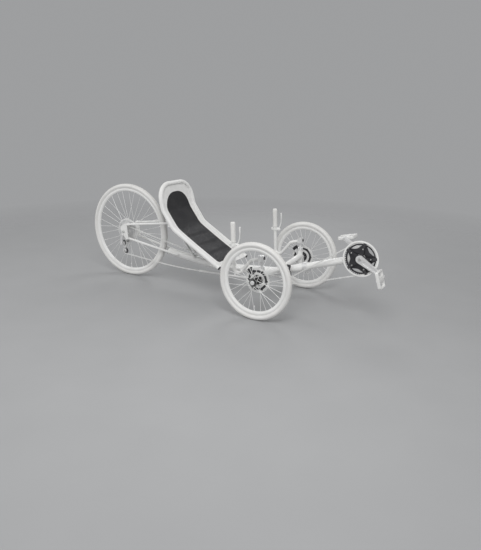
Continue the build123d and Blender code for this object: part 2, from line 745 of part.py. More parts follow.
# Chain tubes: one guides the return run under the main tube, the other the bend of the drive run under
# the seat, each clipped to the side of the main tube.
return_tube_back, return_tube_front, return_clip_x = -620.0, -130.0, -330.0
drive_tube_back, drive_tube_front, drive_clip_x = -560.0, -290.0, -500.0
clip_width = 14.0


def run_height(run, x):
    """The height of a straight run of chain at a distance ahead of the front axle."""
    (x1, z1), (x2, z2) = run
    return z1 + (z2 - z1) * (x - x1) / (x2 - x1)


def chain_point(x, z):
    return ahead(x, chain_y, z)


def main_tube_height(x):
    """The height of the middle of the main tube ahead of its rear bend."""
    low_x, low_z = main_route[1][0] - front_axle_x, main_route[1][2]
    return low_z + (tube_bend_z - low_z) * (x - low_x) / (tube_bend_x - low_x)


return_run = tangent_run(wraps[1], wraps[2], 0)
seat_run = tangent_run(wraps[5], wraps[6], 0)
front_run = tangent_run(wraps[6], wraps[7], 0)
seat_bend = arc_middle(wraps[6], 0, seat_run[1], front_run[0])
with BuildPart() as chain_tubes:
    with BuildLine() as return_line:
        Line(*[chain_point(x, run_height(return_run, x)) for x in (return_tube_back, return_tube_front)])
    with BuildLine() as drive_line:
        Line(chain_point(drive_tube_back, run_height(seat_run, drive_tube_back)), chain_point(*seat_run[1]))
        ThreePointArc(chain_point(*seat_run[1]), chain_point(*seat_bend), chain_point(*front_run[0]))
        Line(chain_point(*front_run[0]),
             chain_point(drive_tube_front, run_height(front_run, drive_tube_front)))
    for run, clip_x, reach in ((return_run, return_clip_x, -12), (seat_run, drive_clip_x, 12)):
        clip_ends = (main_tube_height(clip_x) + reach, run_height(run, clip_x))
        with BuildSketch(side_plane(clip_x, -main_tube_r / 2, sum(clip_ends) / 2)):
            Rectangle(clip_width, abs(clip_ends[0] - clip_ends[1]) + 4)
        extrude(amount=-chain_y - main_tube_r / 2)
    add(main_envelope, mode=Mode.SUBTRACT)
    for radius, mode in ((chain_tube_bore_r + chain_tube_wall, Mode.ADD), (chain_tube_bore_r, Mode.SUBTRACT)):
        for line in (return_line, drive_line):
            for run in line.edges():
                with BuildSketch(Plane(origin=run @ 0, z_dir=run % 0)):
                    Circle(radius)
                if run.geom_type == GeomType.LINE:
                    extrude(amount=run.length, mode=mode)
                else:
                    sweep(path=run, mode=mode)
save(chain_tubes.part, "chain_tubes")

# Drive idler: a toothed pulley under the drive run, on a bolt through a bracket below the main tube.
idler_r = pitch_radius(idler_teeth)
idler_half = 5.0
idler_bolt_r = 4.0
with BuildPart() as drive_idler:
    with BuildSketch(side_plane(idler_at[0], chain_y + tooth_half, idler_at[1])):
        toothed_face(idler_teeth)
        Circle(idler_bolt_r + running_fit, mode=Mode.SUBTRACT)
    extrude(amount=2 * tooth_half)
    with BuildSketch(side_plane(idler_at[0], chain_y + idler_half, idler_at[1])):
        RegularPolygon(idler_r - 9, idler_teeth)
        Circle(idler_bolt_r + running_fit, mode=Mode.SUBTRACT)
    extrude(amount=2 * idler_half)
save(drive_idler.part, "drive_idler")

with BuildPart() as idler_bracket:
    with BuildSketch(side_plane(idler_at[0], -main_tube_r - weld_gap, idler_at[1])):
        Rectangle(26, 60, align=(Align.CENTER, Align.MIN))
        Circle(13)
    extrude(amount=-chain_y - idler_half - weld_gap - main_tube_r - weld_gap)
    with BuildSketch(side_plane(idler_at[0], chain_y + idler_half + 2, idler_at[1])):
        Circle(idler_bolt_r)
    extrude(amount=2 * idler_half + 4)
save(idler_bracket.part, "idler_bracket")

# Cassette: one toothed sprocket for each gear on a splined carrier, largest beside the wheel.
with BuildPart() as cassette:
    for gear, teeth in enumerate(sprocket_teeth):
        sprocket_y = chain_y - (driven_sprocket - gear) * sprocket_step
        with BuildSketch(side_plane(-wheelbase, sprocket_y + tooth_half, rear_tyre_r)):
            toothed_face(teeth)
            RegularPolygon(freehub_r + weld_gap, 9, major_radius=False, mode=Mode.SUBTRACT)
        extrude(amount=2 * tooth_half)
save(cassette.part, "cassette")

# Rear derailleur: a body hung from the right dropout, its cage and two pulleys.
cage_half = 6.5
cage_plate = 1.6
cage_bolt_r = 3.0
body_inner_y = dropout_y + dropout_thickness + weld_gap
with BuildPart() as rear_derailleur:
    with BuildSketch(side_plane(0, -body_inner_y, 0)):
        with Locations(hanger_at):
            Circle(12)
        with Locations(upper_pulley_at):
            Circle(11)
        make_hull()
    extrude(amount=12)
    with BuildSketch(side_plane(upper_pulley_at[0], chain_y - cage_half, upper_pulley_at[1])):
        Circle(9)
    extrude(amount=body_inner_y + chain_y - cage_half)
    for plate_y in (chain_y + cage_half + cage_plate, chain_y - cage_half):
        with BuildSketch(side_plane(0, plate_y, 0)):
            with Locations(upper_pulley_at, lower_pulley_at):
                Circle(10)
            make_hull()
        extrude(amount=cage_plate)
    for x, z in (upper_pulley_at, lower_pulley_at):
        with BuildSketch(side_plane(x, chain_y + cage_half, z)):
            Circle(cage_bolt_r)
        extrude(amount=2 * cage_half)
save(rear_derailleur.part, "rear_derailleur")

with BuildPart() as derailleur_pulleys:
    for x, z in (upper_pulley_at, lower_pulley_at):
        with BuildSketch(side_plane(x, chain_y + tooth_half, z)):
            toothed_face(pulley_teeth)
            Circle(cage_bolt_r + running_fit, mode=Mode.SUBTRACT)
        extrude(amount=2 * tooth_half)
save(derailleur_pulleys.part, "derailleur_pulleys")
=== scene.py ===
import bpy
import bmesh
from math import acos, atan2, cos, hypot, pi, radians, sin, sqrt, tau
from mathutils import Matrix, Vector


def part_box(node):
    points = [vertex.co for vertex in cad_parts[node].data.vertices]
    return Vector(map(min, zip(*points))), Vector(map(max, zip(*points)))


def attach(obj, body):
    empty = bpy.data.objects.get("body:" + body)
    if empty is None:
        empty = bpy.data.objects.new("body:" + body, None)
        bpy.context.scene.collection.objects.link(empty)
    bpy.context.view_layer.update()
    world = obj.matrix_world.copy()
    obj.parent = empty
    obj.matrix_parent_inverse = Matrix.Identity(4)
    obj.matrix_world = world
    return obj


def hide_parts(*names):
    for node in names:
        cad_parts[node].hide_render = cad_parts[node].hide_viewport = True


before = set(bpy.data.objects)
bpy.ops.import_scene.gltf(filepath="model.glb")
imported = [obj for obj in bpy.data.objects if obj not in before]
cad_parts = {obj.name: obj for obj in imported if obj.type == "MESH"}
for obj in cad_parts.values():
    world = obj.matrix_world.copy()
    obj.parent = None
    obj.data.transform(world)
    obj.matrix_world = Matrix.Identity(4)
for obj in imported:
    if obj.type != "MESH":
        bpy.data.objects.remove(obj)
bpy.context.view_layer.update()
scene = bpy.context.scene
print("frame loaded")


def rgb(red, green, blue):
    return (red, green, blue, 1.0)


class Wire:
    # one value in a node tree, so that its maths reads as plain Python
    def __init__(self, tree, socket=None):
        self.tree, self.socket = tree, socket

    def node(self, kind, settings=None, inputs=None, output=0):
        made = self.tree.nodes.new(kind)
        for name, value in (settings or {}).items():
            setattr(made, name, value)
        named = {socket.name: socket for socket in made.inputs if socket.enabled}
        for name, value in (inputs or {}).items():
            socket = made.inputs[name] if isinstance(name, int) else named[name]
            for part in value if isinstance(value, list) else [value]:
                if isinstance(part, Wire):
                    self.tree.links.new(part.socket, socket)
                else:
                    socket.default_value = part
        shown = {socket.name: socket for socket in made.outputs if socket.enabled}
        return Wire(self.tree, shown[output] if isinstance(output, str) else list(shown.values())[output])

    def maths(self, operation, *values):
        return self.node("ShaderNodeMath", {"operation": operation}, dict(enumerate(values)))

    def __add__(self, other):
        return self.maths("ADD", self, other)

    def __sub__(self, other):
        return self.maths("SUBTRACT", self, other)

    def __rsub__(self, other):
        return self.maths("SUBTRACT", other, self)

    def __mul__(self, other):
        return self.maths("MULTIPLY", self, other)

    def __truediv__(self, other):
        return self.maths("DIVIDE", self, other)

    def __pow__(self, other):
        return self.maths("POWER", self, other)

    __radd__ = __add__

    def sine(self):
        return self.maths("SINE", self)

    def positive(self):
        return self.maths("ABSOLUTE", self)

    def clamped(self, low, high):
        # 0 at low and 1 at high
        return self.node("ShaderNodeMapRange", {}, {"Value": self, "From Min": low, "From Max": high})

    def noise(self, scale, detail, stretch=(1, 1, 1)):
        placed = self.node("ShaderNodeMapping", {}, {"Vector": self, "Scale": stretch})
        return self.node("ShaderNodeTexNoise", {}, {"Vector": placed, "Scale": scale, "Detail": detail})

    def axes(self):
        return [self.node("ShaderNodeSeparateXYZ", {}, {"Vector": self}, i) for i in range(3)]

    def blendTo(self, colour, other):
        # a mix of two colours by this mask
        made = self.tree.nodes.new("ShaderNodeMix")
        made.data_type = "RGBA"
        for index, value in ((0, self), (6, colour), (7, other)):
            if isinstance(value, Wire):
                self.tree.links.new(value.socket, made.inputs[index])
            else:
                made.inputs[index].default_value = value
        return Wire(self.tree, made.outputs[2])

    def bump(self, distance, strength):
        return self.node("ShaderNodeBump", {}, {"Height": self, "Distance": distance, "Strength": strength})


def newMaterial(name, recipe, coordinates=3, **constants):
    # coordinates is 3 for the object's own space or 2 for its UV map
    made = bpy.data.materials.new(name)
    made.use_nodes = True
    tree = made.node_tree
    shader = tree.nodes["Principled BSDF"]
    for socket, value in constants.items():
        shader.inputs[socket.replace("_", " ")].default_value = value
    for socket, value in recipe(Wire(tree).node("ShaderNodeTexCoord", output=coordinates)).items():
        if isinstance(value, Wire):
            tree.links.new(value.socket, shader.inputs[socket])
        else:
            shader.inputs[socket].default_value = value
    return made


# How worn it looks: how well dust and grime cover, their colours, and how high in metres the dust reaches
wear = {"dust": 0.22, "dustColour": rgb(0.50, 0.47, 0.42), "dustTop": 0.40,
        "grime": 0.30, "grimeColour": rgb(0.33, 0.31, 0.28)}


def paintRecipe(colour, shade, rough, grain, depth):
    # sprayed paint or moulded plastic: faint peel, uneven tone and road dust low down
    def recipe(place):
        patches = place.noise(9, 4)
        low = 1 - place.axes()[2].clamped(0.06, wear["dustTop"])
        dust = low * patches.clamped(0.40, 0.80)
        tone = patches.clamped(0.3, 0.8).blendTo(colour, shade)
        return {
            "Base Color": (dust * wear["dust"]).blendTo(tone, wear["dustColour"]),
            "Roughness": rough + patches * 0.10 + dust * 0.25,
            "Normal": place.noise(grain, 2).bump(depth, 0.5),
        }
    return recipe


def metalRecipe(colour, dark, rough, stretch=(1, 0.05, 1)):
    # drawn or machined metal: fine scratches one way and a few finger smudges
    def recipe(place):
        grain = place.noise(700, 2, stretch)
        smudge = place.noise(22, 4)
        return {
            "Base Color": smudge.clamped(0.35, 0.8).blendTo(colour, dark),
            "Roughness": rough + grain * 0.14 + smudge * 0.12,
            "Normal": grain.bump(0.00003, 0.6),
        }
    return recipe


def fromAxle(place, centre):
    # the distance from a crosswise axle
    x, z = place.axes()[::2]
    return ((x - centre[0]) ** 2 + (z - centre[2]) ** 2) ** 0.5


def turnedRecipe(colour, dark, rough, centre, rings=5200):
    # metal turned on a lathe: rings about the wheel's axle
    def recipe(place):
        ridge = (fromAxle(place, centre) * rings).sine()
        smudge = place.noise(30, 4)
        return {
            "Base Color": smudge.clamped(0.35, 0.8).blendTo(colour, dark),
            "Roughness": rough + ridge * 0.03 + smudge * 0.14,
            "Normal": ridge.bump(0.00002, 0.5),
        }
    return recipe


def rubberRecipe(colour, shade, centre, outer, lines=4200):
    # tyre rubber: scuffed tread, clean side wall with fine moulding lines
    def recipe(place):
        radius = fromAxle(place, centre)
        tread = radius.clamped(outer - 0.008, outer - 0.001)
        scuff = place.noise(140, 5)
        grime = tread * scuff.clamped(0.30, 0.75) * wear["grime"]
        tone = place.noise(14, 3).clamped(0.3, 0.8).blendTo(colour, shade)
        return {
            "Base Color": grime.blendTo(tone, wear["grimeColour"]),
            "Roughness": 0.52 + scuff * 0.25 + tread * 0.1,
            "Normal": (scuff * 0.8 + (radius * lines).sine() * (1 - tread) * 0.12).bump(0.00018, 0.6),
        }
    return recipe


def openMeshRecipe(place, holes=1150):
    # knitted seat mesh: diamonds of open holes between soft ribs
    u, v = place.axes()[:2]
    lobes = (((u + v) * holes).sine() * ((u - v) * holes).sine()).positive()
    tone = place.noise(11, 4).clamped(0.35, 0.75)
    fuzz = place.noise(2600, 2)
    return {
        "Base Color": tone.blendTo(rgb(0.030, 0.030, 0.034), rgb(0.055, 0.054, 0.056)),
        "Alpha": 1 - lobes.clamped(0.52, 0.74),
        "Roughness": 0.62 + fuzz * 0.25,
        "Normal": (lobes * -1 + fuzz * 0.4).bump(0.0006, 0.8),
    }


def webbingRecipe(colour, shade, rib=2600):
    # woven cloth: fine ribs both ways and a little grime
    def recipe(place):
        u, v = place.axes()[:2]
        weave = (u * rib).sine() * (v * rib).sine()
        return {
            "Base Color": place.noise(26, 5).clamped(0.4, 0.8).blendTo(colour, shade),
            "Roughness": 0.74 + weave * 0.08,
            "Normal": (weave + place.noise(60, 3) * 1.5).bump(0.0003, 0.7),
        }
    return recipe


# Each pair is a light and a worn tone
white = rgb(0.87, 0.87, 0.86), rgb(0.82, 0.82, 0.805)
paleRubber = rgb(0.80, 0.795, 0.78), rgb(0.74, 0.735, 0.72)
# Columns: both tones, roughness, scale of the grain, its depth, clear coat
paints = {
    "framePaint": (*white, 0.24, 900, 0.00006, 0.5),
    "rimPaint": (*white, 0.30, 900, 0.00006, 0.0),
    "weldPaint": (*white, 0.30, 500, 0.0001, 0.4),
    "softGrip": (*paleRubber, 0.5, 1600, 0.00012, 0.0),
    "plastic": (rgb(0.80, 0.80, 0.79), rgb(0.74, 0.74, 0.73), 0.38, 1200, 0.00008, 0.0),
    "capPlastic": (rgb(0.055, 0.055, 0.06), rgb(0.04, 0.04, 0.045), 0.42, 1400, 0.00008, 0.0),
    "thread": (rgb(0.30, 0.30, 0.31), rgb(0.24, 0.24, 0.25), 0.6, 3000, 0.00005, 0.0),
}
framePaint, rimPaint, weldPaint, softGrip, plastic, capPlastic, thread = [
    newMaterial(name, paintRecipe(*values), Coat_Weight=coat)
    for name, (*values, coat) in paints.items()]
# Columns: both tones, roughness, metallic
metals = {
    "alloy": (rgb(0.88, 0.88, 0.88), rgb(0.78, 0.78, 0.78), 0.28, 0.55),
    "darkAlloy": (rgb(0.055, 0.055, 0.06), rgb(0.035, 0.035, 0.04), 0.36, 0.4),
    "steel": (rgb(0.72, 0.72, 0.71), rgb(0.60, 0.60, 0.59), 0.24, 0.75),
    "chainSteel": (rgb(0.86, 0.86, 0.85), rgb(0.76, 0.76, 0.74), 0.26, 0.3),
    "spokeSteel": (rgb(0.90, 0.90, 0.89), rgb(0.82, 0.82, 0.81), 0.30, 0.25),
}
alloy, darkAlloy, steel, chainSteel, spokeSteel = [
    newMaterial(name, metalRecipe(*values), Metallic=metallic)
    for name, (*values, metallic) in metals.items()]
meshFabric = newMaterial("meshFabric", openMeshRecipe, 2)
hemCloth = newMaterial("hemCloth", webbingRecipe(rgb(0.84, 0.84, 0.83), rgb(0.77, 0.765, 0.75)), 2,
                       Sheen_Weight=0.2)
strapCloth = newMaterial("strapCloth", webbingRecipe(rgb(0.045, 0.045, 0.05), rgb(0.07, 0.07, 0.07)), 2)


def turnedMetal(name, tones, rough, centre, metallic):
    return newMaterial(name, turnedRecipe(*tones, rough, centre), Metallic=metallic)


print("materials ready")


def rounded(points, radius, steps=5, closed=True, limit=0.49):
    # the same outline with each corner turned into an arc; radius may differ from point to point
    radii = radius if isinstance(radius, (list, tuple)) else [radius] * len(points)
    points = [Vector(point) for point in points]
    out = []
    for i, (corner, size) in enumerate(zip(points, radii)):
        if not closed and i in (0, len(points) - 1) or size <= 0:
            out.append(corner)
            continue
        back, ahead = points[i - 1] - corner, points[(i + 1) % len(points)] - corner
        half = back.angle(ahead) / 2
        if half > pi / 2 - 0.01:
            out.append(corner)
            continue
        reach = min(size / max(sin(half) / cos(half), 1e-6), limit * back.length, limit * ahead.length)
        size = reach * sin(half) / cos(half)
        back, ahead = back.normalized(), ahead.normalized()
        middle = corner + (back + ahead).normalized() * (size / sin(half))
        first, last = corner + back * reach - middle, corner + ahead * reach - middle
        sweep = first.angle(last)
        for step in range(steps + 1):
            share = step / steps
            out.append(middle + (first * sin((1 - share) * sweep) + last * sin(share * sweep)) / sin(sweep))
    return out


def turned(shape, outline, place, axis=(0, 1, 0), count=48):
    # a closed outline of (radius, distance along the axis) spun about an axis
    turn = Vector((0, 0, 1)).rotation_difference(Vector(axis)).to_matrix()
    rings = []
    for i in range(count):
        angle = tau * i / count
        rings.append([shape.verts.new(Vector(place) + turn @ Vector((r * cos(angle), r * sin(angle), along)))
                      for r, along in outline])
    for i, ring in enumerate(rings):
        other = rings[(i + 1) % count]
        for j in range(len(outline)):
            k = (j + 1) % len(outline)
            if outline[j][0] > 1e-7 or outline[k][0] > 1e-7:
                shape.faces.new((ring[j], ring[k], other[k], other[j]))


def skin(shape, rings, ends=True):
    # joins each ring of corners to the next and gives back the faces between them
    faces = []
    for one, two in zip(rings, rings[1:]):
        for j in range(len(one)):
            k = (j + 1) % len(one)
            faces.append(shape.faces.new((one[j], one[k], two[k], two[j])))
    if ends:
        shape.faces.new(list(reversed(rings[0])))
        shape.faces.new(rings[-1])
    return faces


def tube(shape, path, radius, sides):
    # a round bar along a path; radius may be a list with one value for each point
    path = [Vector(point) for point in path]
    radii = radius if isinstance(radius, (list, tuple)) else [radius] * len(path)
    heading = (path[1] - path[0]).normalized()
    across = heading.orthogonal().normalized()
    rings = []
    for i, point in enumerate(path):
        ahead = (path[min(i + 1, len(path) - 1)] - path[max(i - 1, 0)]).normalized()
        across = (heading.rotation_difference(ahead) @ across).normalized()
        heading = ahead
        upright = heading.cross(across)
        rings.append([shape.verts.new(point + radii[i] * (cos(tau * j / sides) * across
                                                          + sin(tau * j / sides) * upright))
                      for j in range(sides)])
    skin(shape, rings)


def block(shape, centre, size, turn):
    made = bmesh.ops.create_cube(shape, size=1.0)["verts"]
    bmesh.ops.scale(shape, vec=size, verts=made)
    bmesh.ops.transform(shape, matrix=Matrix.Translation(centre) @ turn, verts=made)


sideView = Matrix(((1, 0, 0, 0), (0, 0, -1, 0), (0, 1, 0, 0), (0, 0, 0, 1)))


def plate(shape, loops, thickness, bevel, place, turn=sideView):
    # a flat plate with holes; without a turn its outline is drawn in the trike's side view, centred on place
    curve = bpy.data.curves.new("plateOutline", "CURVE")
    curve.dimensions, curve.fill_mode = "2D", "BOTH"
    curve.extrude, curve.bevel_depth, curve.bevel_resolution = thickness / 2 - bevel, bevel, 1
    curve.offset = -bevel
    for loop in loops:
        spline = curve.splines.new("POLY")
        spline.points.add(len(loop) - 1)
        for point, corner in zip(spline.points, loop):
            point.co = (corner[0], corner[1], 0, 1)
        spline.use_cyclic_u = True
    holder = bpy.data.objects.new("plateOutline", curve)
    mesh = bpy.data.meshes.new_from_object(holder)
    mesh.transform(Matrix.Translation(place) @ turn)
    shape.from_mesh(mesh)
    bpy.data.objects.remove(holder)
    bpy.data.meshes.remove(mesh)
    bpy.data.curves.remove(curve)


def polar(radius, angle, centre=(0, 0)):
    return (centre[0] + radius * cos(angle), centre[1] + radius * sin(angle))


def around(radius, angle, y=0.0):
    # a step out from a crosswise axle at an angle, and aside by y
    return Vector((radius * cos(angle), y, radius * sin(angle)))


def beside(place, y):
    return place + Vector((0, y, 0))


def circleLoop(radius, count=24, centre=(0, 0)):
    return [polar(radius, tau * i / count, centre) for i in range(count)]


def toMesh(name, shape, weld=1e-6):
    bmesh.ops.remove_doubles(shape, verts=shape.verts, dist=weld)
    bmesh.ops.recalc_face_normals(shape, faces=shape.faces)
    mesh = bpy.data.meshes.new(name)
    shape.to_mesh(mesh)
    shape.free()
    return mesh


def addPiece(name, shape, material, body, replaced=(), sharp=40):
    # sharp is the angle in degrees past which an edge stays crisp
    mesh = toMesh(name, shape) if isinstance(shape, bmesh.types.BMesh) else shape
    piece = bpy.data.objects.new(name, mesh)
    scene.collection.objects.link(piece)
    if not mesh.materials:
        mesh.materials.append(material)
    mesh.polygons.foreach_set("use_smooth", [True] * len(mesh.polygons))
    mesh.set_sharp_from_angle(angle=radians(sharp))
    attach(piece, body)
    if replaced:
        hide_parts(*replaced)
    return piece


def geometryTree(name, sockets):
    # an empty Geometry Nodes tree with named inputs
    tree = bpy.data.node_groups.new(name, "GeometryNodeTree")
    tree.interface.new_socket("Geometry", in_out="OUTPUT", socket_type="NodeSocketGeometry")
    tree.interface.new_socket("Geometry", in_out="INPUT", socket_type="NodeSocketGeometry")
    for label, kind in sockets.items():
        tree.interface.new_socket(label, in_out="INPUT", socket_type="NodeSocket" + kind)
    source = tree.nodes.new("NodeGroupInput")
    return tree, {socket.name: Wire(tree, socket) for socket in source.outputs if socket.name}


def endTree(tree, geometry, material):
    whole = geometry.node("GeometryNodeRealizeInstances", {}, {"Geometry": geometry})
    whole = whole.node("GeometryNodeSetMaterial", {}, {"Geometry": whole, "Material": material})
    target = tree.nodes.new("NodeGroupOutput")
    tree.links.new(whole.socket, target.inputs[0])


def grown(name, data, tree, **values):
    # what a tree makes of a mesh or a curve, as a plain mesh
    holder = bpy.data.objects.new(name, data)
    scene.collection.objects.link(holder)
    modifier = holder.modifiers.new("grow", "NODES")
    modifier.node_group = tree
    for item in tree.interface.items_tree:
        if item.in_out == "INPUT" and item.name in values:
            modifier[item.identifier] = values[item.name]
    mesh = bpy.data.meshes.new_from_object(holder.evaluated_get(bpy.context.evaluated_depsgraph_get()))
    mesh.name = name
    holder.modifiers.remove(modifier)
    bpy.data.objects.remove(holder)
    return mesh


# Repeats a shape about a crosswise axle
ringTree, ring = geometryTree("roundTheAxle", {"Count": "Int", "Centre": "Vector", "Material": "Material"})
spots = ring["Count"].node("GeometryNodePoints", {}, {"Count": ring["Count"]})
turnAngle = spots.node("GeometryNodeInputIndex") * tau / ring["Count"]
rotation = turnAngle.node("ShaderNodeCombineXYZ", {}, {"Y": turnAngle})
copies = spots.node("GeometryNodeInstanceOnPoints", {}, {"Points": spots, "Instance": ring["Geometry"],
                                                         "Rotation": rotation})
copies = copies.node("GeometryNodeRealizeInstances", {}, {"Geometry": copies})
copies = copies.node("GeometryNodeTransform", {}, {"Geometry": copies, "Translation": ring["Centre"]})
endTree(ringTree, copies, ring["Material"])


def roundAxle(name, shape, count, centre, material):
    return grown(name, toMesh(name, shape), ringTree, Count=count, Centre=list(centre), Material=material)


def middleOf(node):
    low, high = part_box(node)
    return (low + high) / 2, (high - low) / 2


# Wheels: the same parts three times, each sized from its own tyre node
wheel = {
    "tyreDepth": 0.0335, "treadRise": 0.0011, "grooveDepth": 0.0010, "grooveAngle": 0.20, "grooveHalf": 0.06,
    "blockLength": 0.62, "blockLean": 0.004, "rimDepth": 0.0212, "spokeRadius": 0.0013, "flangeRadius": 0.028,
    "holeInset": 0.004, "elbow": 0.0026, "nippleLength": 0.011, "hubSides": 48,
}
frontWheel = {"spokes": 28, "treadBlocks": 84, "lacing": 52, "flanges": (0.0220, -0.0240), "hubTone": 0.060}
wheelSet = {
    "right_wheel": {"node": "right_front", "out": -1, **frontWheel},
    "left_wheel": {"node": "left_front", "out": 1, **frontWheel},
    "rear_wheel": {"node": "rear", "out": -1, "spokes": 32, "treadBlocks": 120, "lacing": 66,
                   "flanges": (0.0170, -0.0340), "hubTone": 0.86},
}
# Hub outlines: radius and distance outboard of the wheel's middle, or to the right on the rear wheel
frontHub = [(0.0078, -0.0348), (0.0205, -0.0348), (0.0205, -0.0262), (0.0278, -0.0254), (0.0278, -0.0226),
            (0.0170, -0.0205), (0.0138, -0.0150), (0.0134, 0.0), (0.0138, 0.0140), (0.0170, 0.0190),
            (0.0278, 0.0206), (0.0278, 0.0234), (0.0190, 0.0250), (0.0148, 0.0275), (0.0148, 0.0328),
            (0.0078, 0.0328)]
rearHub = [(0.0063, -0.0648), (0.0118, -0.0648), (0.0118, -0.0420), (0.0190, -0.0362), (0.0278, -0.0354),
           (0.0278, -0.0326), (0.0190, -0.0300), (0.0158, -0.0240), (0.0152, -0.0080), (0.0158, 0.0080),
           (0.0190, 0.0140), (0.0278, 0.0156), (0.0278, 0.0184), (0.0170, 0.0186), (0.0170, 0.0640),
           (0.0063, 0.0640)]
valveStem = [(0, -0.004), (0.003, -0.004), (0.003, 0.020), (0.0036, 0.021), (0.0036, 0.032), (0.002, 0.034),
             (0, 0.034)]
valveNut = [(0.0031, 0.001), (0.006, 0.001), (0.006, 0.003), (0.0031, 0.003)]
# Tread blocks: lean of their ends, first and last degree round the section, offset in blocks
treadRows = ((1, 15, 31, 0), (-1, -31, -15, 0), (1, 37, 56, 0.5), (-1, -56, -37, 0.5))
blockSides = ((0, 1, 3, 2), (4, 6, 7, 5), (0, 4, 5, 1), (2, 3, 7, 6), (1, 5, 7, 3), (0, 2, 6, 4))


def tyreOutline(outer, halfWidth, steps=40, reach=128):
    # a round section that sits on the rim, with two grooves in the tread
    depth, rise = wheel["tyreDepth"], wheel["treadRise"]
    middle, top = outer - depth * 0.50, depth * 0.50 - rise
    section = []
    for step in range(steps + 1):
        angle = radians(-reach + 2 * reach * step / steps)
        groove = wheel["grooveDepth"] if abs(abs(angle) - wheel["grooveAngle"]) < wheel["grooveHalf"] else 0.0
        section.append((middle + (top - groove) * cos(angle), (halfWidth - 0.0002) * sin(angle)))
    foot = outer - depth
    return section + [(foot + 0.001, 0.0112), (foot, 0.0108), (foot, -0.0108), (foot + 0.001, -0.0112)]


def rimOutline(outer, halfWidth):
    depth = wheel["rimDepth"]
    corners = [(outer, -halfWidth), (outer, -halfWidth + 0.0018), (outer - 0.0045, -halfWidth + 0.0024),
               (outer - 0.0052, 0.0), (outer - 0.0045, halfWidth - 0.0024), (outer, halfWidth - 0.0018),
               (outer, halfWidth), (outer - 0.0095, halfWidth), (outer - depth + 0.0042, 0.0078),
               (outer - depth, 0.0042), (outer - depth, -0.0042), (outer - depth + 0.0042, -0.0078),
               (outer - 0.0095, -halfWidth)]
    return [tuple(point) for point in rounded(corners, 0.0016, 3)]


def treadBlock(outer, halfWidth, count):
    # one pitch of the tread: a block in each row, its foot sunk a little into the tyre
    shape = bmesh.new()
    depth, rise, step = wheel["tyreDepth"], wheel["treadRise"], tau / count
    for lean, low, high, offset in treadRows:
        corners = []
        for across in (low, high):
            for share in (-0.5, 0.5):
                angle = (share * wheel["blockLength"] + wheel["blockLean"] * across * lean + offset) * step
                for lift in (-0.0010, rise - 0.0001):
                    radius = outer - depth / 2 + (depth / 2 - rise + lift) * cos(radians(across))
                    aside = (halfWidth - 0.0004 + lift * 0.3) * sin(radians(across))
                    corners.append(shape.verts.new((radius * sin(angle), aside, radius * cos(angle))))
        for side in blockSides:
            shape.faces.new([corners[i] for i in side])
    return shape


def spokeGroup(spec, rimInner):
    # four spokes from alternate flanges, crossed, and their nipples
    shape, nipples = bmesh.new(), bmesh.new()
    out, length = spec["out"], wheel["nippleLength"]
    hole = wheel["flangeRadius"] - wheel["holeInset"]
    nipple = [(0, -0.002), (0.0021, -0.002), (0.0021, length * 0.75), (0.0014, length), (0, length)]
    for k in range(4):
        lean = 1 if k // 2 % 2 else -1
        rimAngle = tau / spec["spokes"] * k
        hubAngle = rimAngle + radians(lean * spec["lacing"])
        across = out * spec["flanges"][0 if k % 2 else 1]
        start = around(hole, hubAngle, across + lean * out * wheel["elbow"])
        bend = around(hole, hubAngle, across - lean * out * wheel["elbow"])
        end = around(rimInner, rimAngle, across * 0.1)
        heading = (end - bend).normalized()
        tube(shape, rounded([start, bend, end], 0.002, 4, False), wheel["spokeRadius"], 8)
        turned(shape, [(0, 0), (0.0019, 0), (0.0019, 0.0009), (0, 0.0013)], start, (0, lean * out, 0), 8)
        turned(nipples, nipple, end - heading * (length - 0.002), heading, 8)
    return shape, nipples


def buildWheel(body, spec):
    node, tone = spec["node"], spec["hubTone"]
    centre, half = middleOf(node + "_tyre")
    outer = half.z
    rimOuter = outer - wheel["tyreDepth"] - 0.0006
    rimInner = rimOuter - wheel["rimDepth"]
    rubber = newMaterial(node + "Rubber", rubberRecipe(*paleRubber, centre, outer))
    tones = rgb(tone, tone, tone), rgb(tone * 0.86, tone * 0.86, tone * 0.87)
    lathed = turnedMetal(node + "HubMetal", tones, 0.24, centre, 0.5)

    shape = bmesh.new()
    turned(shape, tyreOutline(outer, half.y), centre, count=160)
    carcass = toMesh("carcass", shape)
    tread = treadBlock(outer, half.y, spec["treadBlocks"])
    blocks = roundAxle("blocks", tread, spec["treadBlocks"], centre, rubber)
    shape = bmesh.new()
    shape.from_mesh(carcass)
    shape.from_mesh(blocks)
    addPiece(node + "_tread_tyre", shape, rubber, body, [node + "_tyre"], 30)

    shape = bmesh.new()
    turned(shape, rimOutline(rimOuter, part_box(node + "_rim")[1].y - centre.y - 0.0002), centre, count=160)
    addPiece(node + "_hollow_rim", shape, rimPaint, body, [node + "_rim"], 35)

    shape = bmesh.new()
    outline = [(radius, spec["out"] * along) for radius, along in (rearHub if node == "rear" else frontHub)]
    turned(shape, outline, centre, count=wheel["hubSides"])
    addPiece(node + "_turned_hub", shape, lathed, body, [node + "_hub"], 35)

    shape, nipples = spokeGroup(spec, rimInner)
    repeats = spec["spokes"] // 4
    spokes = roundAxle(node + "_spokes", shape, repeats, centre, spokeSteel)
    addPiece(node + "_round_spokes", spokes, spokeSteel, body)
    addPiece(node + "_nipples", roundAxle(node + "_nipples", nipples, repeats, centre, alloy), alloy, body)

    shape = bmesh.new()   # valve, opposite the first spoke
    valveFoot = centre + Vector((0, 0, -(rimInner - 0.001)))
    turned(shape, valveStem, valveFoot, (0, 0, 1), 12)
    turned(shape, valveNut, valveFoot, (0, 0, 1), 6)
    addPiece(node + "_valve", shape, alloy, body)


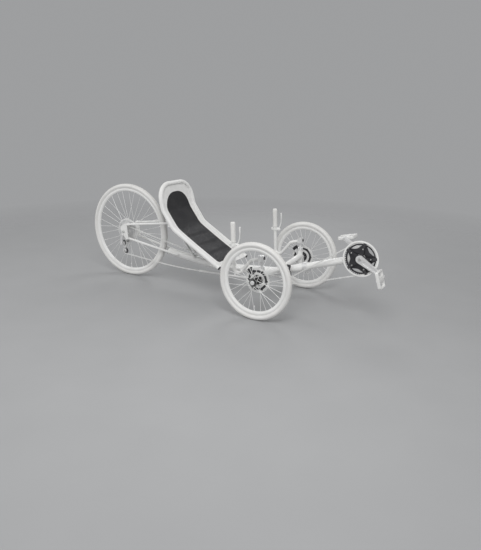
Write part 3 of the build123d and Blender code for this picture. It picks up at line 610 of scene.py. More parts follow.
# Bolts, pins and rollers: a shape set at each spot, facing the way the spot says
spotTree, spot = geometryTree("shapesOnSpots", {"Shape": "Object", "Material": "Material"})
spotShape = spot["Shape"].node("GeometryNodeObjectInfo", {}, {"Object": spot["Shape"]}, "Geometry")
facing = spotShape.node("GeometryNodeInputNamedAttribute", {"data_type": "FLOAT_VECTOR"}, {"Name": "facing"})
size = spotShape.node("GeometryNodeInputNamedAttribute", {"data_type": "FLOAT"}, {"Name": "size"})
spotTurn = facing.node("FunctionNodeAlignRotationToVector", {"axis": "Z"}, {"Vector": facing})
spotPoints = spotShape.node("GeometryNodeMeshToPoints", {}, {"Mesh": spot["Geometry"]})
endTree(spotTree, spotPoints.node("GeometryNodeInstanceOnPoints", {}, {
    "Points": spotPoints, "Instance": spotShape, "Rotation": spotTurn, "Scale": size}), spot["Material"])

# Weld scales and stitches: small pillows laid end to end along each line of a mesh
beadTree, bead = geometryTree("pillowsAlongLines", {"Step": "Float", "Long": "Float", "Wide": "Float",
                                                    "Sides": "Int", "Material": "Material"})
line = bead["Geometry"].node("GeometryNodeMeshToCurve", {}, {"Mesh": bead["Geometry"]})
beadSpots = line.node("GeometryNodeCurveToPoints", {"mode": "LENGTH"},
                      {"Curve": line, "Length": bead["Step"]})
beadTurn = Wire(beadTree, beadSpots.socket.node.outputs["Rotation"])
pillow = line.node("GeometryNodeMeshUVSphere", {}, {"Segments": bead["Sides"], "Rings": 4, "Radius": 1.0})
pillowSize = line.node("ShaderNodeCombineXYZ", {}, {"X": bead["Wide"], "Y": bead["Wide"], "Z": bead["Long"]})
pillow = pillow.node("GeometryNodeTransform", {}, {"Geometry": pillow, "Scale": pillowSize})
endTree(beadTree, pillow.node("GeometryNodeInstanceOnPoints", {}, {
    "Points": beadSpots, "Instance": pillow, "Rotation": beadTurn}), bead["Material"])

# Chain: wide and narrow links in turn, each from its own pin to the next
chainTree, chainIn = geometryTree("linksFromPinToPin", {"Wide Link": "Object", "Narrow Link": "Object",
                                                        "Count": "Int", "Material": "Material"})
pinSpots = chainIn["Count"].node("GeometryNodeMeshToPoints", {}, {"Mesh": chainIn["Geometry"]})
pinIndex = pinSpots.node("GeometryNodeInputIndex")
pinPlace = pinSpots.node("GeometryNodeInputPosition")
nextPin = (pinIndex + 1).maths("MODULO", pinIndex + 1, chainIn["Count"])
nextPlace = pinPlace.node("GeometryNodeFieldAtIndex", {"data_type": "FLOAT_VECTOR"},
                          {"Value": pinPlace, "Index": nextPin})
toNext = nextPlace.node("ShaderNodeVectorMath", {"operation": "SUBTRACT"}, {0: nextPlace, 1: pinPlace})
linkTurn = toNext.node("FunctionNodeAlignRotationToVector", {"axis": "X", "pivot_axis": "Y"},
                       {"Vector": toNext})
narrow = pinIndex.maths("MODULO", pinIndex, 2)
linkSets = []
for label, chosen in (("Wide Link", 1 - narrow), ("Narrow Link", narrow)):
    linkShape = pinSpots.node("GeometryNodeObjectInfo", {}, {"Object": chainIn[label]}, "Geometry")
    linkSets.append(pinSpots.node("GeometryNodeInstanceOnPoints", {}, {
        "Points": pinSpots, "Selection": chosen, "Instance": linkShape, "Rotation": linkTurn}))
endTree(chainTree, pinSpots.node("GeometryNodeJoinGeometry", {}, {"Geometry": linkSets}), chainIn["Material"])


def shapeHolder(shape):
    # an unseen object that only lends its mesh to a tree
    holder = bpy.data.objects.new("shape", toMesh("shape", shape))
    scene.collection.objects.link(holder)
    return holder


def onSpots(name, shape, spots, material):
    # spots are (place, facing, size)
    mesh = bpy.data.meshes.new(name)
    mesh.from_pydata([spot[0] for spot in spots], [], [])
    mesh.attributes.new("facing", "FLOAT_VECTOR", "POINT")
    mesh.attributes.new("size", "FLOAT", "POINT")
    mesh.attributes["facing"].data.foreach_set("vector", [value for spot in spots for value in spot[1]])
    mesh.attributes["size"].data.foreach_set("value", [spot[2] for spot in spots])
    holder = shapeHolder(shape)
    made = grown(name, mesh, spotTree, Shape=holder, Material=material)
    bpy.data.objects.remove(holder)
    return made


def alongLines(name, lines, step, long, wide, material, sides=8):
    # lines are lists of points; one that ends where it starts is closed
    points, edges = [], []
    for line in lines:
        closed = (line[0] - line[-1]).length < 1e-6
        line = line[:-1] if closed else line
        first, count = len(points), len(line)
        points += line
        edges += [(first + i, first + (i + 1) % count) for i in range(count if closed else count - 1)]
    mesh = bpy.data.meshes.new(name)
    mesh.from_pydata(points, edges, [])
    return grown(name, mesh, beadTree, Step=step, Long=long, Wide=wide, Sides=sides, Material=material)


def socketHead():
    # a cap screw of radius 1 with a six-sided socket, its top a little over 1 high
    shape = bmesh.new()
    rings = []
    for radius, up, socket in ((0.0, 0.35, True), (0.52, 0.35, True), (0.52, 1.05, True), (0.86, 1.05, False),
                               (1.0, 0.9, False), (1.0, -0.1, False), (0.0, -0.1, False)):
        radii = [radius * (cos(pi / 6) if socket and i % 2 else 1) for i in range(12)]
        rings.append([shape.verts.new((*polar(out, tau * i / 12), up)) for i, out in enumerate(radii)])
    skin(shape, rings, False)
    return shape


def rectangle(left, right, low, high):
    return [(left, low), (right, low), (right, high), (left, high)]


def collar(hole, neck, outer, heights):
    # a ring's outline with both outer edges bevelled
    foot, low, high, top = heights
    return [(hole, foot), (neck, foot), (outer, low), (outer, high), (neck, top), (hole, top)]


def hullLoop(first, firstRadius, second, secondRadius, steps=14):
    # the outline round two circles and their tangents
    dx, dy = second[0] - first[0], second[1] - first[1]
    lean, spread = atan2(dy, dx), acos((firstRadius - secondRadius) / hypot(dx, dy))
    loop = []
    for centre, radius, start, sweep in ((first, firstRadius, lean + spread, tau - 2 * spread),
                                         (second, secondRadius, lean - spread, 2 * spread)):
        loop += [polar(radius, start + sweep * k / steps, centre) for k in range(steps + 1)]
    return loop


def sectorLoop(inner, outer, start, end, corner, steps=6):
    # a slot between two radii and two angles, with rounded corners
    angles = [start + (end - start) * k / steps for k in range(steps + 1)]
    points = [polar(outer, angle) for angle in angles] + [polar(inner, angle) for angle in reversed(angles)]
    sizes = [corner if i in (0, steps, steps + 1, 2 * steps + 1) else 0 for i in range(len(points))]
    return rounded(points, sizes, 3)


def crescentLoop(radii, middle, spread, steps=10):
    # a crescent about the centre: thickest in the middle, pointed at both ends
    inner, outer = radii
    shares = [2 * k / steps - 1 for k in range(steps + 1)]
    back = [polar(inner + (outer - inner) * (1 - cos(pi / 2 * share)) * 0.9, middle + spread * share)
            for share in reversed(shares[1:-1])]
    return [polar(outer, middle + spread * share) for share in shares] + back


def armLoop(count, start, half, fill=None):
    # an outline with arms, from the corners of half an arm: distance out, distance aside, corner radius;
    # fill is the radius of the arc between two arms
    loop, radii = [], []
    whole = [(out, -aside, size) for out, aside, size in half] + list(reversed(half))
    for i in range(count):
        angle = start + tau * i / count
        for out, aside, size in whole:
            loop.append((out * cos(angle) - aside * sin(angle), out * sin(angle) + aside * cos(angle)))
            radii.append(size)
        if fill:
            loop += [polar(fill, angle + share * tau / count) for share in (0.2, 0.35, 0.5, 0.65, 0.8)]
            radii += [0] * 5
    return rounded(loop, radii, 4)


def swollen(value, power):
    # bends a circle's sine or cosine towards a square's
    return abs(value) ** (2 / power) * (1 if value > 0 else -1)


def limb(shape, path, wide, thick, power=2.6, sides=16):
    # a shaped bar along a path in side view; wide and thick are half sizes at each point
    across = Vector((0, 1, 0))
    rings = []
    for i, point in enumerate(path):
        heading = (path[min(i + 1, len(path) - 1)] - path[max(i - 1, 0)]).normalized()
        other = heading.cross(across).normalized()
        rings.append([shape.verts.new(point + across * wide[i] * swollen(cos(tau * k / sides), power)
                                      + other * thick[i] * swollen(sin(tau * k / sides), power))
                      for k in range(sides)])
    skin(shape, rings)


frontX = middleOf("right_front_tyre")[0].x


def at(ahead, left, up):
    # a point from millimetres ahead of the front axle, to the left and above the ground
    return Vector((frontX + ahead / 1000, left / 1000, up / 1000))


def walk(path, share):
    # the point and heading at a share of a path's length
    lengths = [(b - a).length for a, b in zip(path, path[1:])]
    left = min(max(share, 0), 1) * sum(lengths)
    for (a, b), length in zip(zip(path, path[1:]), lengths):
        if left <= length or b is path[-1]:
            return a.lerp(b, min(left / length, 1)), (b - a).normalized()
        left -= length


def sideStep(start, end):
    # how far ahead and up one place lies from another
    return end.x - start.x, end.z - start.z


def lengthOf(path):
    return sum((b - a).length for a, b in zip(path, path[1:]))


# What the CAD's own pieces are made of where no other piece stands in for them
finishes = {
    "knuckle": alloy, "axle": steel, "tie_rod": alloy, "derailleur": alloy, "clamp": alloy,
    "chain_tubes": plastic, "idler": darkAlloy, "spindle": steel,
}
for name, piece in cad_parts.items():
    piece.data.materials.clear()
    piece.data.materials.append(next((made for word, made in finishes.items() if word in name), framePaint))

for body, spec in wheelSet.items():
    buildWheel(body, spec)
print("wheels built")

# Chain drive
drive = {
    "pitch": 0.0127, "chainY": -0.046, "ringTeeth": 48, "idlerTeeth": 14, "pulleyTeeth": 11,
    "sprocketTeeth": (11, 13, 15, 18, 21, 24, 28, 34, 42), "drivenSprocket": 4, "sprocketStep": 0.0045,
    "arms": 5, "boltCircle": 0.065, "ringHole": 0.030, "windowRadii": (0.0665, 0.0845),
    "windowSpread": radians(25),
}
# Links: for the wide and the narrow ones, how far aside a plate lies and how thick it is
link = {"wide": (0.00275, 0.0008), "narrow": (0.00178, 0.0009), "end": 0.0041, "waist": 0.0029,
        "roller": 0.0038, "pin": 0.0018, "pinProud": 0.0003}
crank = {"angle": radians(-30), "length": 0.170, "face": 0.0600, "thick": 0.014, "base": 0.0108,
         "eye": 0.0118, "rightBoss": 0.0245, "leftBoss": 0.0178, "spiderY": -0.05725}
guard = {"y": -0.0527, "outer": 0.1108, "gap": 0.0041, "thick": 0.003, "armHalf": 0.0075, "armFoot": 0.0575,
         "bossRadius": 0.0058, "bossLong": 0.0037, "bossY": -0.0475, "bandOuter": 0.1110, "bandThick": 0.0034}
cassette = {"thick": 0.0021, "hole": 0.0176, "spacer": 0.0208, "windows": 6, "windowInner": 0.0235,
            "windowRim": 0.0105, "lockRingY": -0.0660}
protector = {"outer": 0.092, "hole": 0.0215, "slots": 8, "slotRadii": (0.0865, 0.0895), "y": -0.0245}
mount = {"halfFoot": 0.0128, "halfWaist": 0.0080, "eye": 0.0127, "thick": 0.0148, "y": -0.0332,
         "boltY": -0.0402}
pulley = {"hole": 0.0031, "toothRise": 0.0022, "holes": 5, "holeCircle": 0.0115, "holeRadius": 0.0022}
bracket, rearAxle = at(539, 0, 386), at(-1280, 0, 350)
idlerAt, upperPulley, lowerPulley = at(62, 0, 218), at(-1300, 0, 258), at(-1288, 0, 198)
armStart = crank["angle"] + radians(36)


def pitchRadius(teeth):
    return drive["pitch"] / 2 / sin(pi / teeth)


# The chain wraps each of these: centre, radius, 1 for a clockwise wrap seen from the right
wraps = [
    (bracket, pitchRadius(drive["ringTeeth"]), 1),
    (at(-40, 0, 1048), 0.900, 1), (at(-700, 0, 3637), 3.500, 1),
    (lowerPulley, pitchRadius(drive["pulleyTeeth"]), 1), (upperPulley, pitchRadius(drive["pulleyTeeth"]), -1),
    (rearAxle, pitchRadius(drive["sprocketTeeth"][drive["drivenSprocket"]]), 1),
    (at(-330, 0, 500), 0.300, -1), (idlerAt, pitchRadius(drive["idlerTeeth"]), -1),
]


def runBetween(first, second):
    # the straight run of chain from one wrap to the next
    (one, r1, turn1), (two, r2, turn2) = first, second
    lean = atan2(two.z - one.z, two.x - one.x) + turn1 * acos((r1 - turn1 * turn2 * r2) / (two - one).length)
    return polar(r1, lean, one.xz), polar(r2 * turn1 * turn2, lean, two.xz)


def chainPins():
    # pins a pitch apart round the whole loop
    runs = [runBetween(wrap, wraps[(i + 1) % len(wraps)]) for i, wrap in enumerate(wraps)]
    route = []
    for i, (centre, radius, turn) in enumerate(wraps):
        entry, leave = runs[i - 1][1], runs[i][0]
        first = atan2(entry[1] - centre.z, entry[0] - centre.x)
        sweep = (turn * (first - atan2(leave[1] - centre.z, leave[0] - centre.x))) % tau
        steps = max(3, int(radius * sweep / 0.0015))
        for k in range(steps + 1):
            x, z = polar(radius, first - turn * sweep * k / steps, centre.xz)
            route.append(Vector((x, drive["chainY"], z)))
    route.append(route[0])
    total = lengthOf(route)
    count = 2 * round(total / drive["pitch"] / 2)
    pins, gone, step = [], 0.0, total / count
    for a, b in zip(route, route[1:]):
        length = (b - a).length
        while len(pins) < count and len(pins) * step <= gone + length:
            pins.append(a.lerp(b, (len(pins) * step - gone) / length))
        gone += length
    return pins


def chainLink(plateY, plateThick, roller):
    # two waisted side plates from the first pin to the second, with rollers or pins
    shape = bmesh.new()
    pitch, end, waist = drive["pitch"], link["end"], link["waist"]
    outline = [(pitch * 0.5, waist)] + [polar(end, radians(a), (pitch, 0)) for a in (110, 45, 0, -45, -110)]
    outline += [(pitch * 0.5, -waist)] + [polar(end, radians(a)) for a in (-70, -135, 180, 135, 70)]
    for side in (-1, 1):
        faces = [[shape.verts.new((x, side * (plateY + push), z)) for x, z in outline]
                 for push in (-plateThick / 2, plateThick / 2)]
        shape.faces.new(faces[0])
        shape.faces.new(faces[1])
        skin(shape, faces, False)
    radius, reach = link["roller"], plateY
    if not roller:
        radius, reach = link["pin"], plateY + plateThick / 2 + link["pinProud"]
    for x in (0, pitch):
        turned(shape, rectangle(0, radius, -reach, reach), (x, 0, 0), count=8)
    return shape


def toothLoop(teeth, seat, rise=0.0027):
    # a roller seat at each pitch and a flat-topped tooth between
    shares = ((0, -0.0038), (0.17, -0.0030), (0.29, -0.0004), (0.38, 0.0016), (0.45, rise), (0.55, rise),
              (0.62, 0.0016), (0.71, -0.0004), (0.83, -0.0030))
    return [polar(pitchRadius(teeth) + lift, seat + (i + share) * tau / teeth)
            for i in range(teeth) for share, lift in shares]


def seatedLoop(centre, teeth, rise=0.0027):
    # teeth turned so that they stand between the rollers of the chain that lies on this wheel
    near = [pin for pin in pins if abs(hypot(*sideStep(centre, pin)) - pitchRadius(teeth)) < 0.0004]
    ahead, up = sideStep(centre, near[len(near) // 2])
    return toothLoop(teeth, atan2(up, ahead), rise)


pins = chainPins()
pinMesh = bpy.data.meshes.new("pins")
pinMesh.from_pydata(pins, [], [])
wideLink = shapeHolder(chainLink(*link["wide"], False))
narrowLink = shapeHolder(chainLink(*link["narrow"], True))
linkMesh = grown("chainLinks", pinMesh, chainTree, Count=len(pins), Material=chainSteel,
                 **{"Wide Link": wideLink, "Narrow Link": narrowLink})
for holder in (wideLink, narrowLink):
    bpy.data.objects.remove(holder)
addPiece("roller_chain", linkMesh, chainSteel, "frame", ["chain"], 50)
print("chain has", len(pins), "links")

ringMetal = turnedMetal("ringMetal", (rgb(0.045, 0.045, 0.05), rgb(0.03, 0.03, 0.034)), 0.34, bracket, 0.3)
gearMetal = turnedMetal("gearMetal", (rgb(0.86, 0.86, 0.86), rgb(0.74, 0.74, 0.74)), 0.28, rearAxle, 0.6)

shape = bmesh.new()   # chainring with five crescent windows
loops = [seatedLoop(bracket, drive["ringTeeth"]), circleLoop(drive["ringHole"], 40)]
for i in range(drive["arms"]):
    middle = armStart + (i + 0.5) * tau / drive["arms"]
    loops.append(crescentLoop(drive["windowRadii"], middle, drive["windowSpread"]))
plate(shape, loops, 0.0022, 0.0004, beside(bracket, drive["chainY"]))
addPiece("drilled_chainring", shape, ringMetal, "crankset", ["chainring"], 30)

shape = bmesh.new()   # guard ring with five arms to the spider, and a spacer behind each bolt
guardInner, guardAt = pitchRadius(drive["ringTeeth"]) + guard["gap"], beside(bracket, guard["y"])
guardArm = [(guardInner, guard["armHalf"], 0.005), (guard["armFoot"], guard["armHalf"], 0.0074)]
plate(shape, [circleLoop(guard["outer"], 96), armLoop(drive["arms"], armStart, guardArm, guardInner)],
      guard["thick"], 0.0008, guardAt)
armAngles = [armStart + tau * i / drive["arms"] for i in range(drive["arms"])]
for angle in armAngles:
    turned(shape, rectangle(0, guard["bossRadius"], -guard["bossLong"], 0),
           bracket + around(drive["boltCircle"], angle, guard["bossY"]), count=20)
addPiece("guard_ring", shape, capPlastic, "crankset", ["chain_guard"], 35)
shape = bmesh.new()   # white band on the guard's face
loops = [circleLoop(guard["bandOuter"], 96), circleLoop(guardInner - 0.0005, 96)]
plate(shape, loops, guard["bandThick"], 0.0009, guardAt)
addPiece("guard_band", shape, framePaint, "crankset", [], 35)

shape = bmesh.new()   # cassette: nine sprockets, spacers and a lock ring
for gear, teeth in enumerate(drive["sprocketTeeth"]):
    place = beside(rearAxle, drive["chainY"] - (drive["drivenSprocket"] - gear) * drive["sprocketStep"])
    driven = gear == drive["drivenSprocket"]
    loops = [seatedLoop(rearAxle, teeth) if driven else toothLoop(teeth, 0.07 * gear)]
    loops.append(circleLoop(cassette["hole"], 40))
    radius, count = pitchRadius(teeth), cassette["windows"]
    for i in range(count if radius > 0.040 else 0):   # the small sprockets have no windows
        start, end = (i + 0.14 + 0.02 * gear) * tau / count, (i + 0.86 + 0.02 * gear) * tau / count
        loops.append(sectorLoop(cassette["windowInner"], radius - cassette["windowRim"], start, end, 0.003))
    plate(shape, loops, cassette["thick"], 0.00035, place)
    if gear < len(drive["sprocketTeeth"]) - 1:
        turned(shape, rectangle(cassette["hole"], cassette["spacer"], 0.0011, 0.0034), place, count=40)
loops = [armLoop(12, 0, [(0.0160, 0.0022, 0), (0.0145, 0.0022, 0)]), circleLoop(0.0100, 24)]
plate(shape, loops, 0.0016, 0.0003, beside(rearAxle, cassette["lockRingY"]))
addPiece("toothed_cassette", shape, gearMetal, "rear_wheel", ["cassette"], 30)
shape = bmesh.new()   # spoke protector between the cassette and the spokes
count = protector["slots"]
loops = [circleLoop(protector["outer"], 72), circleLoop(protector["hole"], 40)]
loops += [sectorLoop(*protector["slotRadii"], (i + 0.2) * tau / count, (i + 0.8) * tau / count, 0.0012)
          for i in range(count)]
plate(shape, loops, 0.0014, 0.0004, beside(rearAxle, protector["y"]))
addPiece("spoke_protector", shape, rimPaint, "rear_wheel", [], 35)

shape = bmesh.new()   # idler: a toothed disc on a wide hub
place = beside(idlerAt, drive["chainY"])
plate(shape, [seatedLoop(idlerAt, drive["idlerTeeth"]), circleLoop(0.0041, 20)], 0.0022, 0.0004, place)
hub = [(0.0041, 0.005), (0.0150, 0.005), (0.0172, 0.0035), (0.0178, 0.0011)]
turned(shape, [(radius, -along) for radius, along in hub] + hub[::-1], place, count=40)
addPiece("toothed_idler", shape, capPlastic, "frame", ["drive_idler"], 35)
shape = bmesh.new()   # its mount: a waisted block with a window, and the bolt that it turns on
flank = [(mount["halfFoot"], 0.0595), (mount["halfFoot"], 0.0440), (mount["halfWaist"], 0.0300)]
eye = [polar(mount["eye"], radians(a)) for a in range(40, -221, -20)]
window = rounded([(-0.0032, 0.0180), (0.0032, 0.0180), (0.0065, 0.0460), (-0.0065, 0.0460)], 0.0030, 4)
plate(shape, [flank + eye + [(-x, z) for x, z in reversed(flank)], window], mount["thick"], 0.0014,
      beside(idlerAt, mount["y"]))
turned(shape, rectangle(0, 0.0040, 0, 0.0125), beside(idlerAt, mount["boltY"]), (0, -1, 0), 20)
addPiece("idler_mount", shape, darkAlloy, "frame", ["idler_bracket"], 35)
shape = bmesh.new()   # derailleur pulleys
for centre in (upperPulley, lowerPulley):
    place, count = beside(centre, drive["chainY"]), pulley["holes"]
    loops = [seatedLoop(centre, drive["pulleyTeeth"], pulley["toothRise"]), circleLoop(pulley["hole"], 18)]
    loops += [circleLoop(pulley["holeRadius"], 10, polar(pulley["holeCircle"], tau * i / count))
              for i in range(count)]
    plate(shape, loops, 0.0022, 0.0003, place)
    turned(shape, collar(pulley["hole"], 0.0070, 0.0076, (-0.0042, -0.0011, 0.0011, 0.0042)), place, count=24)
addPiece("toothed_pulleys", shape, capPlastic, "frame", ["derailleur_pulleys"], 35)
print("drive built")


# Cranks: a spider on the right, two fluted arms, each with a pedal axle, and the bolts at the spindle
bothSides = (-1, "right"), (1, "left")
pedalAxle = [(0, 0.0005), (0.0030, 0.0005), (0.0030, -0.001), (0.0055, -0.001), (0.0055, 0.0142),
             (0.0085, 0.0142), (0.0085, 0.0185), (0.0055, 0.0195), (0.0053, 0.0985), (0, 0.0985)]
screwSpots = {}


def addScrew(body, place, facing, size):
    screwSpots.setdefault(body, []).append((place, facing, size))


def crankArm(side, angle):
    shape = bmesh.new()
    eye, base = polar(crank["length"], angle), crank["base"]
    rim = crank["thick"] - base
    outline = hullLoop((0, 0), crank["rightBoss"] if side < 0 else crank["leftBoss"], eye, crank["eye"])
    plate(shape, [outline], base, 0.0016, beside(bracket, side * (crank["face"] + base / 2)))
    pocket = hullLoop(polar(0.036, angle), 0.0092, polar(0.140, angle), 0.0068)
    plate(shape, [outline, pocket, circleLoop(0.0118, 28), circleLoop(0.0062, 20, eye)], rim + 0.001, 0.0010,
          beside(bracket, side * (crank["face"] + base + rim / 2 - 0.0005)))
    return shape


spider = bmesh.new()
spiderAt = beside(bracket, crank["spiderY"])
plate(spider, [armLoop(drive["arms"], armStart, [(0.0275, 0.0125, 0.010), (0.0720, 0.0070, 0.0066)])], 0.0055,
      0.0012, spiderAt)
turned(spider, [(0.0121, -0.0029), (0.0275, -0.0029), (0.0285, -0.0015), (0.0285, 0.0015), (0.0240, 0.0029),
                (0.0121, 0.0029)], spiderAt, (0, -1, 0), 48)
addPiece("crank_spider", spider, darkAlloy, "crankset", [], 35)
for side, name in bothSides:
    angle = crank["angle"] + (0 if side < 0 else pi)
    addPiece(name + "_fluted_crank", crankArm(side, angle), alloy, "crankset", [name + "_crank"], 35)
    shape = bmesh.new()   # pedal axle, with a six-sided socket behind and a collar in front
    turned(shape, pedalAxle, beside(bracket + around(crank["length"], angle), side * crank["face"]),
           (0, side, 0), 24)
    addPiece(name + "_pedal_axle", shape, steel, "crankset")
    face = beside(bracket, side * (crank["face"] + crank["thick"] - 0.0042))
    addScrew("crankset", face, (0, side, 0), 0.0085)
for angle in armAngles:
    addScrew("crankset", bracket + around(drive["boltCircle"], angle, -0.0602), (0, -1, 0), 0.0042)

# Pedals: a cage with pins on both faces, round a bearing barrel
pedal = {"halfLong": 0.052, "halfWide": 0.048, "thick": 0.0185, "y": 0.128, "cleats": 9, "cleatStep": 0.0095,
         "tilts": {"right": radians(-74), "left": radians(12)}, "pinSize": 0.0019,
         "pinsAt": ((46, 43), (46, -43), (6, 42), (6, -42))}
barrel = [(0.0056, -0.0478), (0.0118, -0.0478), (0.0118, -0.034), (0.0100, -0.026), (0.0094, 0.030),
          (0.0112, 0.038), (0.0112, 0.0474), (0.0095, 0.0478), (0.0056, 0.0478)]
for side, name in bothSides:
    tilt = pedal["tilts"][name]
    middle = bracket + around(crank["length"], crank["angle"] + (0 if side < 0 else pi), side * pedal["y"])
    ahead, up = around(1, tilt), Vector((-sin(tilt), 0, cos(tilt)))
    turn = Matrix((ahead, (0, 1, 0), up)).transposed().to_4x4()
    shape = bmesh.new()
    edge = rectangle(pedal["halfLong"], -pedal["halfLong"], pedal["halfWide"], -pedal["halfWide"])
    windows = [rounded(rectangle(x * 0.016, x * 0.044, 0.036, -0.036), 0.007, 4) for x in (-1, 1)]
    plate(shape, [rounded(edge, 0.011, 5)] + windows, pedal["thick"], 0.0020, middle, turn)
    for x in (-1, 1):   # cleats across the front and back edges
        for k in range(pedal["cleats"]):
            aside = (k - pedal["cleats"] // 2) * pedal["cleatStep"]
            block(shape, beside(middle + ahead * x * 0.0482, aside), (0.0055, 0.0042, 0.0212), turn)
    turned(shape, barrel, middle, (0, side, 0), 32)
    body = name + "_pedal_body"
    addPiece(name + "_cage_pedal", shape, plastic, body, [name + "_pedal"], 30)
    lift = pedal["thick"] / 2 - 0.0004
    studs = [(beside(middle + ahead * x * a / 1000, b / 1000) + up * z * lift, up * z, pedal["pinSize"])
             for x in (-1, 1) for z in (-1, 1) for a, b in pedal["pinsAt"]]
    addPiece(name + "_pedal_pins", onSpots("pins", socketHead(), studs, steel), steel, body)
print("cranks and pedals built")

# Steering: handlebars, grips, brake levers, calipers and rotors, each made for both sides
steering = {
    "kingpinY": 296, "barPoints": ((16, 372), (-74, 346), (-190, 204), (-206, 566)),
    "barBends": (0, 0.045, 0.030, 0), "barRadius": 0.0110, "gripFoot": 446, "gripRibs": 24, "leverFoot": 418,
    "leverUp": 0.0108, "bladePoints": ((28, 428), (42, 448), (49.5, 474), (51.5, 505), (49.5, 546.5)),
}
caliper = {"at": (-48, 291), "innerY": 334.7, "outerY": 348.55, "bridgeY": 343.8, "faceY": 350.3,
           "boltOut": 0.0165, "boltAside": 0.0115}
rotor = {"y": 344, "bright": (0.0635, 0.0798), "inner": (0.033, 0.050), "holes": 30, "holeRadius": 0.0020,
         "holeCircles": (0.0755, 0.0700), "lugs": 6}
barFoot, barTop = steering["barPoints"][2:]
barLean = (barTop[0] - barFoot[0]) / (barTop[1] - barFoot[1])
leanAxis = Vector((barLean, 0, 1)).normalized()
ribs = [(radius, 0.012 + 0.004 * k + step) for k in range(steering["gripRibs"])
        for radius, step in ((0.0154, 0.0), (0.0147, 0.0006), (0.0147, 0.0022), (0.0154, 0.0028))]
gripOutline = [(0.0112, 0), (0.0160, 0), (0.0168, 0.0008), (0.0168, 0.0046), (0.0154, 0.0066), *ribs,
               (0.0155, 0.113), (0.0152, 0.1200), (0.0142, 0.1236), (0.0120, 0.1254), (0.0070, 0.1260),
               (0, 0.1260), (0, 0.1212), (0.0112, 0.1212)]
plugOutline = [(0, -0.003), (0.0100, -0.003), (0.0110, 0), (0.0110, 0.0018), (0.0080, 0.0034), (0, 0.0038)]
ballEnd = [(0, -0.0045), (0.0030, -0.0042), (0.0052, -0.0024), (0.0058, 0), (0.0052, 0.0024),
           (0.0030, 0.0034), (0, 0.0036)]
headsetCollar = [(0.0082, 0), (0.0176, 0), (0.0180, 0.0012), (0.0180, 0.0062), (0.0170, 0.0096),
                 (0.0170, 0.0124), (0.0082, 0.0124)]


def onBar(y, up):
    # the middle of the bar's upright part at a height
    return at(barTop[0] + (up - barTop[1]) * barLean, y, up)


def brakeLever(foot, y):
    # clamp band, hinge body, curved blade with a ball end
    shape = bmesh.new()
    hinge = foot + Vector((0, 0, steering["leverUp"]))
    turned(shape, collar(0.0113, 0.0160, 0.0169, (0.0004, 0.0014, 0.0206, 0.0216)), foot, leanAxis, 32)
    limb(shape, [hinge + Vector((x, 0, 0)) for x in (0.012, 0.018, 0.026, 0.034, 0.0385)],
         (0.008, 0.008, 0.0078, 0.0078, 0.0055), (0.0100, 0.0105, 0.0105, 0.0095, 0.006), 4)
    limb(shape, [hinge + Vector((x, 0, 0)) for x in (-0.0285, -0.0275, -0.020, -0.013)],
         (0.0045, 0.0058, 0.0060, 0.0060), (0.0075, 0.0095, 0.0100, 0.0100), 4)
    blade = rounded([at(barTop[0] + x, y, z) for x, z in steering["bladePoints"]], 0.016, 5, False)
    waists = [sin(pi * i / (len(blade) - 1)) for i in range(len(blade))]
    limb(shape, blade, [0.0058 - 0.0012 * waist for waist in waists],
         [0.0042 - 0.0016 * waist for waist in waists])
    turned(shape, ballEnd, blade[-1] - leanAxis * 0.004, leanAxis, 16)
    return shape


def brakeCaliper(side, reach):
    # two halves either side of the rotor, bridged beyond its rim, and a round piston cover
    shape = bmesh.new()
    x, z = caliper["at"]
    turn = sideView @ Matrix.Rotation(radians(45), 4, "Z")
    outline = rounded(rectangle(-0.017, 0.017, -0.023, 0.023), 0.0060, 5)
    plate(shape, [outline], 0.0128, 0.0020, at(x, side * caliper["innerY"], z), turn)
    plate(shape, [outline], 0.0038, 0.0011, at(x, side * caliper["outerY"], z), turn)
    block(shape, at(x, side * caliper["bridgeY"], z) + reach * 0.0193, (0.024, 0.0095, 0.0054),
          turn @ Matrix.Rotation(pi / 2, 4, "X"))
    turned(shape, [(0, 0), (0.0078, 0), (0.0078, 0.0008), (0.0068, 0.0013), (0, 0.0013)],
           at(x, side * caliper["faceY"], z) - reach * 0.004, (0, side, 0), 24)
    return shape


